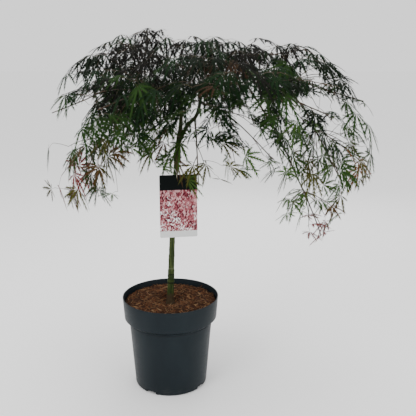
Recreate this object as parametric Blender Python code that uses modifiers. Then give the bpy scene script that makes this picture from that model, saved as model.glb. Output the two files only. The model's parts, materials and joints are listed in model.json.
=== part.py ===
"""A weeping cut-leaf maple, top-grafted on a straight stem and grown in a round nursery pot.

Metres, +Z up. The origin is on the pot's axis, on its flat underside. The crown leans to +X,
and the plant tag hangs on the front, at -Y. Each limb and each mass of foliage is one solid.
A mass grows by a seeded rule: a stem goes on from its bough, twigs leave the stem, and leaves
leave the twigs. Whatever would leave the mass's own space or touch a limb is skipped.
"""

import math
import random
from dataclasses import dataclass

import bmesh
import bpy
import numpy as np
from mathutils import Matrix, Vector

UP = Vector((0.0, 0.0, 1.0))
GOLDEN_ANGLE = math.radians(137.5)

# Seating and merging
GAP = 0.0003
MERGE = 0.00005

# Nursery pot: a tapered body, a collar that stands out over it and a rounded foot
POT_HEIGHT = 0.293
POT_RIM_RADIUS = 0.1565
POT_COLLAR_RADIUS = 0.151
POT_COLLAR_FOOT = 0.224
POT_COLLAR_ROUND = 0.0015
POT_BODY_RADIUS = 0.135
POT_SHOULDER = 0.213
POT_BASE_RADIUS = 0.1172
POT_WALL = 0.0028
POT_FLOOR = 0.004
POT_EDGE = 0.0012
POT_ROUND = 0.008
POT_STEPS = 40
NOTCH_COUNT = 4
NOTCH_WIDTH = 0.036
NOTCH_HEIGHT = 0.010
NOTCH_DEPTH = 0.030
NOTCH_TURN = math.radians(-31.0)

# Bark mulch and the soil under it
MULCH_LEVEL = 0.277
MULCH_SEAT = 0.2665
MULCH_SEAT_RADIUS = 0.026
MULCH_EDGE_DROP = 0.004

# Trunk, from below the flat cut at the mulch to the fork
TRUNK_CUT = MULCH_SEAT + GAP
TRUNK_LINE = (
    (-0.0010, 0.0, 0.255),
    (-0.0010, 0.0, 0.285),
    (0.0010, 0.0, 0.330),
    (0.0072, 0.0, 0.485),
    (0.0195, 0.0, 0.700),
    (0.0245, 0.0, 0.765),
    (0.0320, 0.0, 0.815),
)
TRUNK_RADII = (0.0165, 0.0118, 0.0105, 0.0091, 0.0075, 0.0079, 0.0092)
TRUNK_SIDES = 10

# Main boughs from the fork
LEADER_LINE = ((0.0365, 0.001, 0.853), (0.0380, 0.003, 0.917), (0.0200, 0.002, 0.990))
LEADER_RADII = (0.0066, 0.0056, 0.0044)
SIDE_LINE = (
    (0.0580, -0.004, 0.852),
    (0.0866, -0.006, 0.885),
    (0.0985, -0.006, 0.935),
    (0.0985, -0.001, 0.995),
)
SIDE_RADII = (0.0062, 0.0057, 0.0052, 0.0042)
SIDE_START = 0.930
BOUGH_SIDES = 6
BOUGH_RADIUS = 0.0034
BOUGH_TIP_RADIUS = 0.0023
LEADER_SHARE = 0.86
LIMB_PIECES = 3

# Plant tag and its tie
TAG_WIDTH = 0.120
TAG_HEIGHT = 0.204
TAG_THICKNESS = 0.0008
TAG_CORNER = 0.004
TAG_TURN = math.radians(8.0)
TAG_TILT = math.radians(-0.35)
TAG_CENTRE = Vector((0.0290, -0.0190, 0.5960))
TAG_HOLE_RADIUS = 0.0032
TAG_HOLE_DROP = 0.0090
TAG_HOLE_ACROSS = -0.004
TIE_RADIUS = 0.0009
TIE_LEVEL = 0.716

# Guards across the tag's upper part, which leaves keep clear of
GUARD_COUNT = 8
GUARD_TOP = 0.55
GUARD_STEP = 0.08
GUARD_RADIUS = 0.004

# The line of a mass's bough and stem, in shares of the mass's own size
LINE_PIECES = 8
SPACE_FILL = 0.86
STEM_REACH = 0.70
STEM_DROP = 0.25

# Twigs and leaves of a mass
SEED = 4100
STEM_TIP_RADIUS = 0.0017
STEM_LEAD = 0.006
TWIG_RADIUS = 0.0014
TWIG_TIP_RADIUS = 0.0010
TWIG_REACH = 0.60
TWIG_RISE = 0.16
TWIG_PIECES = 3
TWIG_BACK = 0.32
TWIG_FIRST = 0.6
TWIG_OVER = 0.55
TWIG_INSET = 0.03
TWIG_SAMPLES = 6
LEAF_LENGTH = 0.086
LEAF_LOBES = (-84.0, -42.0, 0.0, 42.0, 84.0)
LEAF_SIDE_SHORTENING = 0.34
LEAF_WAIST = 0.017
LEAF_STALK = 0.036
LEAF_THICKNESS = 0.0026
LEAF_DROOP = 0.30
LEAF_DIP = 0.25
LEAF_FACE_UP = 0.55
LEAF_FACE_OUT = 0.75
LEAF_SAMPLES = 8
LEAF_SITES = (0.55, 0.80, 0.30, 0.68, 0.42)
LEAF_TURN = math.radians(24.0)
LEAF_TRIALS = 9
LEAF_CLEARANCE = 0.040
LEAF_GAP = 0.0055
SPACE_MARGIN = 0.002
LIMB_CLEARANCE = 0.008
FLATNESS = 1.35
CROWN_CENTRE = Vector((0.123, 0.0, 0.80))


@dataclass(frozen=True)
class Mass:
    """One mass of foliage: its ellipsoid, the limb that its bough leaves, and its twigs and leaves."""

    name: str
    centre: tuple
    half: tuple
    parent: str
    along: float
    rise: float
    twigs: int
    leaves: int


MASSES = (
    Mass("crest_left", (-0.095, 0.00, 1.085), (0.190, 0.19, 0.115), "leader", 0.96, 0.030, 8, 16),
    Mass("crest_centre", (0.120, 0.03, 1.075), (0.150, 0.18, 0.095), "leader", 0.88, 0.020, 6, 11),
    Mass("crest_right", (0.325, 0.00, 1.075), (0.185, 0.19, 0.105), "side_bough", 0.96, 0.035, 7, 15),
    Mass("shoulder_left", (-0.260, 0.00, 0.935), (0.155, 0.18, 0.155), "leader", 0.80, 0.055, 7, 14),
    Mass("skirt_left", (-0.25, -0.03, 0.740), (0.165, 0.17, 0.155), "bough_shoulder_left", 0.60, 0.04, 7, 13),
    Mass("under_left", (-0.065, -0.01, 0.850), (0.135, 0.15, 0.145), "leader", 0.45, 0.020, 6, 11),
    Mass("shoulder_right", (0.490, 0.00, 0.965), (0.175, 0.19, 0.155), "side_bough", 0.84, 0.060, 8, 15),
    Mass("skirt_right", (0.505, -0.01, 0.755), (0.17, 0.17, 0.145), "bough_shoulder_right", 0.72, 0.04, 7, 13),
    Mass("tail_right", (0.445, -0.05, 0.60), (0.125, 0.12, 0.13), "bough_shoulder_right", 0.45, 0.03, 5, 8),
    Mass("under_right", (0.270, -0.01, 0.865), (0.140, 0.15, 0.140), "side_bough", 0.72, 0.015, 6, 11),
    Mass("front_left", (-0.110, -0.26, 0.955), (0.195, 0.17, 0.155), "leader", 0.65, 0.050, 7, 13),
    Mass("front_centre", (0.120, -0.26, 1.040), (0.140, 0.18, 0.085), "side_bough", 0.90, 0.020, 5, 9),
    Mass("front_right", (0.350, -0.26, 0.955), (0.195, 0.17, 0.155), "side_bough", 0.78, 0.050, 7, 13),
    Mass("back_left", (-0.100, 0.26, 0.950), (0.200, 0.17, 0.160), "leader", 0.70, 0.050, 7, 13),
    Mass("back_centre", (0.130, 0.29, 0.985), (0.150, 0.16, 0.140), "leader", 0.92, 0.040, 5, 9),
    Mass("back_right", (0.355, 0.26, 0.950), (0.200, 0.17, 0.160), "side_bough", 0.87, 0.050, 7, 13),
    Mass("pendant", (0.090, -0.065, 0.740), (0.085, 0.08, 0.105), "side_bough", 0.45, 0.010, 3, 3),
)


@dataclass
class Limb:
    """A tapering limb: the points of its middle line and its radius at each."""

    name: str
    points: list
    radii: list

    def at(self, share):
        """The point and radius at a share of the limb's length."""
        place = share * (len(self.points) - 1)
        index = min(int(place), len(self.points) - 2)
        part = place - index
        point = self.points[index].lerp(self.points[index + 1], part)
        radius = self.radii[index] * (1 - part) + self.radii[index + 1] * part
        return point, radius

    def at_level(self, level):
        """The point and radius where a rising limb passes a level."""
        index = next(place for place, point in enumerate(self.points) if point.z > level) - 1
        part = (level - self.points[index].z) / (self.points[index + 1].z - self.points[index].z)
        return self.at((index + part) / (len(self.points) - 1))


def material(name, colour, roughness):
    """A plain Principled material."""
    made = bpy.data.materials.new(name)
    made.use_nodes = True
    shader = made.node_tree.nodes["Principled BSDF"]
    shader.inputs["Base Color"].default_value = (*colour, 1.0)
    shader.inputs["Roughness"].default_value = roughness
    shader.inputs["Metallic"].default_value = 0.0
    return made


def collection(name):
    """A new collection under the scene's own."""
    made = bpy.data.collections.new(name)
    bpy.context.scene.collection.children.link(made)
    return made


def mesh_object(name, mesh, where, finish=None):
    """An object for a mesh, in a collection."""
    made = bpy.data.objects.new(name, mesh)
    where.objects.link(made)
    if finish:
        mesh.materials.append(finish)
    return made


def smooth_line(points, pieces):
    """Points on a Catmull-Rom curve through the given points, with some pieces to each span."""
    ends = [points[0] * 2 - points[1], *points, points[-1] * 2 - points[-2]]
    line = []
    for a, b, c, d in zip(ends, ends[1:], ends[2:], ends[3:]):
        for step in range(pieces):
            t = step / pieces
            bend = (2 * a - 5 * b + 4 * c - d) * t**2 + (3 * b - a - 3 * c + d) * t**3
            line.append(0.5 * (2 * b + (c - a) * t + bend))
    line.append(points[-1].copy())
    return line


def smooth_radii(radii, pieces):
    """A radius for each point of a smooth line."""
    made = []
    for first, second in zip(radii, radii[1:]):
        made += [first + (second - first) * step / pieces for step in range(pieces)]
    return made + [radii[-1]]


def tube_curve(name, points, radii, sides, where, cyclic=False):
    """A curve object: a tube of some sides along the points, with filled ends."""
    curve = bpy.data.curves.new(name, "CURVE")
    curve.dimensions = "3D"
    curve.use_fill_caps = not cyclic
    if sides % 2 == 0 and sides >= 4:
        curve.bevel_depth = 1.0
        curve.bevel_resolution = (sides - 4) // 2
    else:
        curve.bevel_mode = "OBJECT"
        curve.bevel_object = ring_profile(sides)
    spline = curve.splines.new("POLY")
    spline.points.add(len(points) - 1)
    for place, point, radius in zip(spline.points, points, radii):
        place.co = (*point, 1.0)
        place.radius = radius
    spline.use_cyclic_u = cyclic
    made = bpy.data.objects.new(name, curve)
    where.objects.link(made)
    return made


def ring_profile(sides):
    """A closed flat outline of unit radius, for a curve's bevel, made once for each count of sides."""
    name = f"ring_profile_{sides}"
    if name in bpy.data.objects:
        return bpy.data.objects[name]
    curve = bpy.data.curves.new(name, "CURVE")
    curve.dimensions = "2D"
    spline = curve.splines.new("POLY")
    spline.points.add(sides - 1)
    for index, place in enumerate(spline.points):
        angle = math.tau * index / sides
        place.co = (math.cos(angle), math.sin(angle), 0.0, 1.0)
    spline.use_cyclic_u = True
    made = bpy.data.objects.new(name, curve)
    made.hide_render = True
    made.display_type = "WIRE"
    guides.objects.link(made)
    return made


def outward(bm):
    """Turn a closed mesh's faces outwards."""
    bmesh.ops.recalc_face_normals(bm, faces=bm.faces)
    if bm.calc_volume(signed=True) < 0:
        bmesh.ops.reverse_faces(bm, faces=bm.faces)


def curves_to_meshes(curves, finish=None):
    """Replace curve objects by mesh objects of the same names, with their caps welded on."""
    bpy.context.view_layer.update()
    depsgraph = bpy.context.evaluated_depsgraph_get()
    made = []
    for item in curves:
        mesh = bpy.data.meshes.new_from_object(item.evaluated_get(depsgraph))
        bm = bmesh.new()
        bm.from_mesh(mesh)
        bmesh.ops.remove_doubles(bm, verts=bm.verts, dist=MERGE)
        outward(bm)
        bm.to_mesh(mesh)
        bm.free()
        mesh.materials.clear()
        name, matrix, where = item.name, item.matrix_world.copy(), item.users_collection[0]
        bpy.data.objects.remove(item)
        mesh.name = name
        piece = mesh_object(name, mesh, where, finish)
        piece.matrix_world = matrix
        made.append(piece)
    return made


def apply_modifiers(item):
    """Give an object its evaluated mesh and take its modifiers away."""
    bpy.context.view_layer.update()
    depsgraph = bpy.context.evaluated_depsgraph_get()
    mesh = bpy.data.meshes.new_from_object(item.evaluated_get(depsgraph))
    item.modifiers.clear()
    item.data = mesh


def shade_round(item, degrees=35.0):
    """Smooth shading with sharp edges kept."""
    item.data.shade_smooth()
    item.data.set_sharp_from_angle(angle=math.radians(degrees))


def as_cutter(item, name, place):
    """Turn a new primitive into a hidden cutter at a place."""
    item.name = name
    item.data.transform(place)
    item.hide_render = True
    item.display_type = "WIRE"
    for holder in list(item.users_collection):
        holder.objects.unlink(item)
    guides.objects.link(item)
    return item


def turned(name, profile, steps, finish):
    """A solid of revolution about Z from a profile that starts and ends on the axis."""
    mesh = bpy.data.meshes.new(name)
    edges = [(index, index + 1) for index in range(len(profile) - 1)]
    mesh.from_pydata([(radius, 0.0, height) for radius, height in profile], edges, [])
    made = mesh_object(name, mesh, parts, finish)
    screw = made.modifiers.new("Turn", "SCREW")
    screw.steps = steps
    screw.render_steps = steps
    screw.use_merge_vertices = True
    screw.merge_threshold = MERGE
    return made


def pot_profile(offset=0.0):
    """The pot's inner wall from the floor to the collar, moved inwards by an offset."""
    inner = POT_WALL + offset
    return [
        (0.0, POT_FLOOR + offset),
        (POT_BASE_RADIUS - POT_ROUND, POT_FLOOR + offset),
        (POT_BASE_RADIUS - inner, POT_FLOOR + offset + POT_ROUND),
        (POT_BODY_RADIUS - inner, POT_SHOULDER + inner),
        (POT_COLLAR_RADIUS - inner, POT_COLLAR_FOOT + inner),
    ]


def build_pot():
    """The pot: a turned shell with a collar over its body, and drain notches in its foot."""
    profile = pot_profile() + [
        (POT_RIM_RADIUS - POT_WALL, POT_HEIGHT - POT_EDGE),
        (POT_RIM_RADIUS - POT_WALL + POT_EDGE, POT_HEIGHT),
        (POT_RIM_RADIUS - POT_EDGE, POT_HEIGHT),
        (POT_RIM_RADIUS, POT_HEIGHT - POT_EDGE),
        (POT_COLLAR_RADIUS, POT_COLLAR_FOOT + POT_COLLAR_ROUND),
        (POT_COLLAR_RADIUS - 0.3 * POT_COLLAR_ROUND, POT_COLLAR_FOOT + 0.3 * POT_COLLAR_ROUND),
        (POT_COLLAR_RADIUS - POT_COLLAR_ROUND, POT_COLLAR_FOOT),
        (POT_BODY_RADIUS, POT_SHOULDER),
        (POT_BASE_RADIUS, POT_ROUND),
        (POT_BASE_RADIUS - 0.3 * POT_ROUND, 0.3 * POT_ROUND),
        (POT_BASE_RADIUS - POT_ROUND, 0.0),
        (0.0, 0.0),
    ]
    pot = turned("pot", profile, POT_STEPS, material("pot_plastic", (0.018, 0.028, 0.036), 0.45))
    for index in range(NOTCH_COUNT):
        angle = NOTCH_TURN + math.tau * index / NOTCH_COUNT - math.pi / 2
        bpy.ops.mesh.primitive_cube_add(size=1.0)
        spot = Vector((math.cos(angle), math.sin(angle), 0.0)) * POT_BASE_RADIUS
        size = Matrix.Diagonal((NOTCH_DEPTH, NOTCH_WIDTH, 2 * NOTCH_HEIGHT, 1.0))
        place = Matrix.Translation(spot) @ Matrix.Rotation(angle, 4, "Z") @ size
        cutter = as_cutter(bpy.context.object, f"notch_cutter_{index}", place)
        cut = pot.modifiers.new(cutter.name, "BOOLEAN")
        cut.object = cutter
    apply_modifiers(pot)
    shade_round(pot)


def build_mulch():
    """Potting soil topped with bark mulch, filling the pot, with a flat seat for the trunk."""
    edge_radius = POT_COLLAR_RADIUS - POT_WALL - GAP
    profile = [
        (0.0, MULCH_SEAT),
        (MULCH_SEAT_RADIUS, MULCH_SEAT),
        (MULCH_SEAT_RADIUS * 1.6, MULCH_LEVEL - 0.003),
        (edge_radius * 0.55, MULCH_LEVEL),
        (edge_radius * 0.85, MULCH_LEVEL + 0.001),
        (edge_radius, MULCH_LEVEL - MULCH_EDGE_DROP),
        *reversed(pot_profile(GAP)),
    ]
    mulch = turned("bark_mulch", profile, POT_STEPS, material("bark_chips", (0.10, 0.035, 0.017), 0.9))
    apply_modifiers(mulch)
    shade_round(mulch)


def limb_object(limb, sides, where, name=None, grow=0.0):
    """The limb's tube as a curve object, grown by a small amount where it is a cutter."""
    return tube_curve(name or limb.name, limb.points, [radius + grow for radius in limb.radii], sides, where)


def sides_of(name):
    """How many sides a limb's tube has."""
    return TRUNK_SIDES if name == "trunk" else BOUGH_SIDES


def cut_flat(mesh, level):
    """Cut a closed mesh off below a level and close the cut with a flat face."""
    bm = bmesh.new()
    bm.from_mesh(mesh)
    geometry = [*bm.verts, *bm.edges, *bm.faces]
    cut = bmesh.ops.bisect_plane(
        bm, geom=geometry, plane_co=(0, 0, level), plane_no=(0, 0, 1), clear_inner=True
    )
    rim = [item for item in cut["geom_cut"] if isinstance(item, bmesh.types.BMEdge)]
    bmesh.ops.edgenet_fill(bm, edges=rim)
    outward(bm)
    bm.to_mesh(mesh)
    bm.free()


def build_limbs(limbs, parents, bark):
    """Every limb's solid, with the foot of each bough cut to the surface of what carries it, a gap away."""
    curves = [limb_object(limb, sides_of(limb.name), parts) for limb in limbs.values()]
    curves_to_meshes(curves, bark)
    cut_flat(bpy.data.objects["trunk"].data, TRUNK_CUT)
    pairs = [(name, parent) for name, carriers in parents.items() for parent in carriers]
    saddles = []
    for name, parent in pairs:
        saddles.append(limb_object(limbs[parent], sides_of(parent), guides, f"saddle_{name}_{parent}", GAP))
    for cutter, (name, _) in zip(curves_to_meshes(saddles), pairs):
        cutter.hide_render = True
        cutter.display_type = "WIRE"
        piece = bpy.data.objects[name]
        cut = piece.modifiers.new("Saddle", "BOOLEAN")
        cut.object = cutter
        apply_modifiers(piece)
        keep_body(piece.data)
    for limb in limbs.values():
        shade_round(bpy.data.objects[limb.name], 60.0)


def keep_body(mesh):
    """Keep the largest closed body of a mesh: loose scraps go, and sealed hollows are filled."""
    bm = bmesh.new()
    bm.from_mesh(mesh)
    left = set(bm.verts)
    bodies = []
    while left:
        front = [left.pop()]
        body = set(front)
        while front:
            for edge in front.pop().link_edges:
                for vert in edge.verts:
                    if vert in left:
                        left.remove(vert)
                        body.add(vert)
                        front.append(vert)
        bodies.append(body)
    bodies.sort(key=len)
    for body in bodies[:-1]:
        bmesh.ops.delete(bm, geom=list(body), context="VERTS")
    bm.to_mesh(mesh)
    bm.free()


class Spaces:
    """Which mass a point belongs to: each mass has an ellipsoid, cut from its neighbours by planes."""

    def __init__(self, masses):
        self.stretch = np.array((1.0, 1.0, FLATNESS))
        self.centres = np.array([mass.centre for mass in masses])
        self.halves = np.array([mass.half for mass in masses])
        self.reaches = np.cbrt((self.halves * self.stretch).prod(axis=1))

    def holds(self, index, points, margin=SPACE_MARGIN, fill=1.0):
        """Whether a mass's own space holds all the points, with a margin to its neighbours."""
        points = np.asarray(points)
        scaled = (points - self.centres[index]) / self.halves[index]
        if (np.square(scaled).sum(axis=1) > fill**2).any():
            return False
        offsets = (points[:, None, :] - self.centres[None, :, :]) * self.stretch
        powers = np.square(offsets).sum(axis=2) - self.reaches**2
        slopes = 2 * np.linalg.norm((self.centres - self.centres[index]) * self.stretch**2, axis=1)
        slopes[index] = 1.0
        clear = (powers - powers[:, index : index + 1]) / slopes
        clear[:, index] = margin
        return bool((clear >= margin).all())


def tag_guards():
    """Lines across the tag's upper half that leaves keep clear of as if they were limbs."""
    made = []
    for step in range(GUARD_COUNT):
        height = TAG_HEIGHT * (GUARD_TOP - GUARD_STEP * step)
        ends = [tag_place() @ Vector((side * TAG_WIDTH / 2, 0.0, height)) for side in (-1, 1)]
        made.append(Limb(f"tag_guard_{step}", ends, [GUARD_RADIUS] * 2))
    return made


class Clearance:
    """How far points keep from every limb's surface."""

    def __init__(self, limbs):
        starts, ends, radii = [], [], []
        for limb in [*limbs.values(), *tag_guards()]:
            for first, second, radius in zip(limb.points, limb.points[1:], limb.radii):
                starts.append(first)
                ends.append(second)
                radii.append(radius)
        self.starts = np.array(starts)
        self.runs = np.array(ends) - self.starts
        self.squares = np.square(self.runs).sum(axis=1)
        self.radii = np.array(radii)

    def least(self, points):
        """The least distance from the points to a limb's surface."""
        offsets = np.asarray(points)[:, None, :] - self.starts[None, :, :]
        shares = np.clip((offsets * self.runs).sum(axis=2) / self.squares, 0.0, 1.0)
        nearest = offsets - shares[:, :, None] * self.runs
        return float((np.linalg.norm(nearest, axis=2) - self.radii).min())


def fork_limbs():
    """The trunk and the two main boughs that leave its top."""
    trunk_points = [Vector(point) for point in TRUNK_LINE]
    trunk = Limb("trunk", smooth_line(trunk_points, LIMB_PIECES), smooth_radii(TRUNK_RADII, LIMB_PIECES))
    tip = trunk.points[-1]
    run = (tip - trunk.points[-2]).normalized()
    leader_points = [tip + run * GAP, *(Vector(point) for point in LEADER_LINE)]
    leader_radii = (trunk.radii[-1] * LEADER_SHARE, *LEADER_RADII)
    leader = Limb("leader", smooth_line(leader_points, LIMB_PIECES), smooth_radii(leader_radii, LIMB_PIECES))
    side_points = [trunk.at(SIDE_START)[0], *(Vector(point) for point in SIDE_LINE)]
    side_radii = (SIDE_RADII[0], *SIDE_RADII)
    side = Limb("side_bough", smooth_line(side_points, LIMB_PIECES), smooth_radii(side_radii, LIMB_PIECES))
    return {limb.name: limb for limb in (trunk, leader, side)}


def mass_line(mass, limbs):
    """The smooth line from the parent limb up and over to the middle of a mass and on to its far side."""
    start = limbs[mass.parent].at(mass.along)[0]
    centre = Vector(mass.centre)
    reach = centre - start
    half = Vector(mass.half)
    over = start.lerp(centre, 0.5) + UP * mass.rise
    run = reach.normalized()
    size = 1.0 / math.sqrt(sum((run[axis] / half[axis]) ** 2 for axis in range(3)))
    tip = centre + run * size * STEM_REACH - UP * half.z * STEM_DROP
    return smooth_line([start, over, centre, tip], LINE_PIECES)


def grow_boughs(limbs, spaces):
    """Add a bough for each mass, up to where it enters the mass's space; give back the stems' lines."""
    stems = {}
    for index, mass in enumerate(MASSES):
        line = mass_line(mass, limbs)
        inside = [spaces.holds(index, [point], 2 * SPACE_MARGIN, SPACE_FILL) for point in line]
        entry = next(place for place in range(3, len(line)) if all(inside[place : place + LINE_PIECES]))
        leave = next((place for place in range(entry, len(line)) if not inside[place]), len(line))
        bough = line[: entry + 1]
        shares = [place / entry for place in range(entry + 1)]
        radii = [BOUGH_RADIUS + (BOUGH_TIP_RADIUS - BOUGH_RADIUS) * share for share in shares]
        name = f"bough_{mass.name}"
        odd = entry % 2
        limbs[name] = Limb(name, bough[::2] + bough[-1:] * odd, radii[::2] + radii[-1:] * odd)
        run = (limbs[name].points[-1] - limbs[name].points[-2]).normalized()
        stem = [line[entry] + run * GAP, line[entry] + run * STEM_LEAD]
        stems[mass.name] = stem + line[entry + 2 : leave : 2]
    return stems


def spiral_point(mass, place, turn):
    """One of an even spiral of points that a mass's twigs reach for."""
    height = 1 - 2 * (place + 0.5) / mass.twigs
    ring = math.sqrt(1 - height**2)
    angle = GOLDEN_ANGLE * place + turn
    direction = (ring * math.cos(angle), ring * math.sin(angle), height)
    return Vector(mass.centre) + Vector(direction) * Vector(mass.half) * TWIG_REACH


def grow_twig(index, stem, target, spaces, clearance):
    """A twig that leaves the stem short of the point nearest its target and arches over to it."""
    while not spaces.holds(index, [target], TWIG_INSET):
        target = target.lerp(Vector(MASSES[index].centre), 0.15)
    distances = [(point - target).length for point in stem]
    nearest = distances.index(min(distances))
    place = max(TWIG_FIRST, nearest - TWIG_BACK * min(distances) / STEM_LEAD)
    spot = int(place)
    start = stem[spot].lerp(stem[spot + 1], place - spot) if spot < len(stem) - 1 else stem[-2]
    reach = target - start
    if reach.length < TWIG_INSET:
        return []
    over = start.lerp(target, TWIG_OVER) + UP * TWIG_RISE * reach.length
    points = []
    for step in range(TWIG_PIECES + 1):
        t = step / TWIG_PIECES
        points.append(start.lerp(over, t).lerp(over.lerp(target, t), t))
    samples = []
    for first, second in zip(points, points[1:]):
        samples += [first.lerp(second, step / TWIG_SAMPLES) for step in range(TWIG_SAMPLES + 1)]
    if not spaces.holds(index, samples) or clearance.least(samples[4:]) < TWIG_RADIUS + SPACE_MARGIN:
        return []
    return points


def leaf_frame(root, heading, roll):
    """The leaf's own directions: along its stalk, across it, and out of its upper face."""
    out = root - CROWN_CENTRE
    face = (UP * LEAF_FACE_UP + out.normalized() * LEAF_FACE_OUT).normalized()
    along = heading - face * heading.dot(face)
    along = (along.normalized() - UP * LEAF_DIP).normalized()
    face = (face - along * face.dot(along)).normalized()
    along = Matrix.Rotation(roll, 3, face) @ along
    return along, face.cross(along), face


def leaf_outline(root, along, across, size):
    """The leaf's centre, its lobes' tips and the notches between them, with the stalk's sunk end first."""
    centre = root + along * LEAF_STALK * size
    tips = []
    notches = []
    half_step = (LEAF_LOBES[1] - LEAF_LOBES[0]) / 2
    for degrees in LEAF_LOBES:
        angle = math.radians(degrees)
        length = LEAF_LENGTH * size * (1 - LEAF_SIDE_SHORTENING * abs(math.sin(angle)) ** 1.5)
        run = along * math.cos(angle) + across * math.sin(angle)
        tips.append(centre + run * length - UP * LEAF_DROOP * length)
    for place in range(len(LEAF_LOBES) + 1):
        angle = math.radians(LEAF_LOBES[0] + half_step * (2 * place - 1))
        run = along * math.cos(angle) + across * math.sin(angle)
        notches.append(centre + run * LEAF_WAIST * size)
    outline = [root]
    for place, tip in enumerate(tips):
        outline += [notches[place], tip]
    return centre, outline + [notches[-1]]


def leaf_samples(centre, outline):
    """Points along the leaf's stalk and lobes, for testing where it may go."""
    made = [centre, centre.lerp(outline[0], 0.4), *outline[1::2]]
    for tip in outline[2::2]:
        made += [centre.lerp(tip, step / LEAF_SAMPLES) for step in range(1, LEAF_SAMPLES + 1)]
    return np.array(made)


def place_leaf(index, root, heading, spaces, clearance, draw, taken):
    """Try a leaf at a root, turned one way and another, and give back its centre and outline if one fits."""
    size = draw.uniform(0.88, 1.08)
    for trial in range(LEAF_TRIALS):
        turn = LEAF_TURN * ((trial + 1) // 2) * (1 if trial % 2 else -1)
        along, across, face = leaf_frame(root, heading, turn)
        centre, outline = leaf_outline(root, along, across, size)
        samples = leaf_samples(centre, outline)
        fits = spaces.holds(index, samples) and clearance.least(samples) > LIMB_CLEARANCE
        if fits and apart(samples, taken):
            taken.append(samples)
            return centre, outline, face
    return None


def apart(samples, taken):
    """Whether a leaf keeps clear of the leaves that its mass has already."""
    for other in taken:
        if np.linalg.norm(samples[0] - other[0]) < LEAF_CLEARANCE:
            return False
        if np.linalg.norm(samples[:, None, :] - other[None, :, :], axis=2).min() < LEAF_GAP:
            return False
    return True


def leaf_mesh(name, centre, outline, face):
    """A closed leaf: its outline joined to a point above and a point below its centre."""
    bm = bmesh.new()
    rim = [bm.verts.new(point) for point in outline]
    top = bm.verts.new(centre + face * LEAF_THICKNESS / 2)
    base = bm.verts.new(centre - face * LEAF_THICKNESS / 2)
    for first, second in zip(rim, rim[1:] + rim[:1]):
        bm.faces.new((first, second, top))
        bm.faces.new((second, first, base))
    outward(bm)
    mesh = bpy.data.meshes.new(name)
    bm.to_mesh(mesh)
    bm.free()
    return mesh


def leaf_sites(lines, draw):
    """Where leaves may root, and which way each heads: twigs' tips first, then places along the twigs."""
    sites = []
    for points in lines:
        heading = (points[-1] - points[-2]).normalized()
        sites.append((points[-1] - heading * 0.001, heading))
    for share in LEAF_SITES:
        for points in lines:
            place = (len(points) - 1) * share
            spot = int(place)
            root = points[spot].lerp(points[spot + 1], place - spot)
            run = (points[spot + 1] - points[spot]).normalized()
            side = run.cross(UP).normalized() * draw.choice((1, -1))
            side = Matrix.Rotation(draw.uniform(-0.6, 0.6), 3, run) @ side
            sites += [(root, (side + run * 0.4).normalized()), (root, (run * 0.4 - side).normalized())]
    return sites


def grow_mass(index, mass, stem, spaces, clearance):
    """The twigs and leaves of a mass, by the seeded rule."""
    draw = random.Random(SEED + index)
    turn = draw.uniform(0.0, math.tau)
    targets = [spiral_point(mass, place, turn) for place in range(mass.twigs)]
    twigs = [grow_twig(index, stem, target, spaces, clearance) for target in targets]
    twigs = [points for points in twigs if points]
    leaves = []
    taken = []
    for root, heading in leaf_sites([*twigs, stem], draw):
        if len(leaves) < mass.leaves:
            leaf = place_leaf(index, root, heading, spaces, clearance, draw, taken)
            leaves += [leaf] if leaf else []
    return twigs, leaves


def build_mass(mass, stem, twigs, leaves, finish):
    """Join a mass's stem, twigs and leaves into one solid."""
    count = len(stem)
    radii = [BOUGH_TIP_RADIUS + (STEM_TIP_RADIUS - BOUGH_TIP_RADIUS) * i / (count - 1) for i in range(count)]
    pieces = collection(f"{mass.name}_pieces")
    body = tube_curve(mass.name, stem, radii, 5, parts)
    curves = [body]
    for number, points in enumerate(twigs):
        count = len(points)
        radii = [TWIG_RADIUS + (TWIG_TIP_RADIUS - TWIG_RADIUS) * i / (count - 1) for i in range(count)]
        curves.append(tube_curve(f"{mass.name}_twig_{number}", points, radii, 3, pieces))
    body = curves_to_meshes(curves)[0]
    for number, (centre, outline, face) in enumerate(leaves):
        mesh_object(f"leaf_{number}", leaf_mesh("leaf", centre, outline, face), pieces)
    union = body.modifiers.new("Join", "BOOLEAN")
    union.operation = "UNION"
    union.operand_type = "COLLECTION"
    union.collection = pieces
    union.solver = "MANIFOLD"
    apply_modifiers(body)
    for item in list(pieces.objects):
        bpy.data.objects.remove(item)
    bpy.data.collections.remove(pieces)
    keep_body(body.data)
    body.data.materials.clear()
    body.data.materials.append(finish)
    print(f"{mass.name}: {len(twigs)} twigs, {len(leaves)} leaves, {len(body.data.polygons)} faces")


def build_foliage(limbs):
    """Grow the boughs first and then every mass round them."""
    spaces = Spaces(MASSES)
    stems = grow_boughs(limbs, spaces)
    clearance = Clearance(limbs)
    finish = material("leaves", (0.035, 0.075, 0.022), 0.55)
    for index, mass in enumerate(MASSES):
        stem = stems[mass.name]
        twigs, leaves = grow_mass(index, mass, stem, spaces, clearance)
        build_mass(mass, stem, twigs, leaves, finish)


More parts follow.
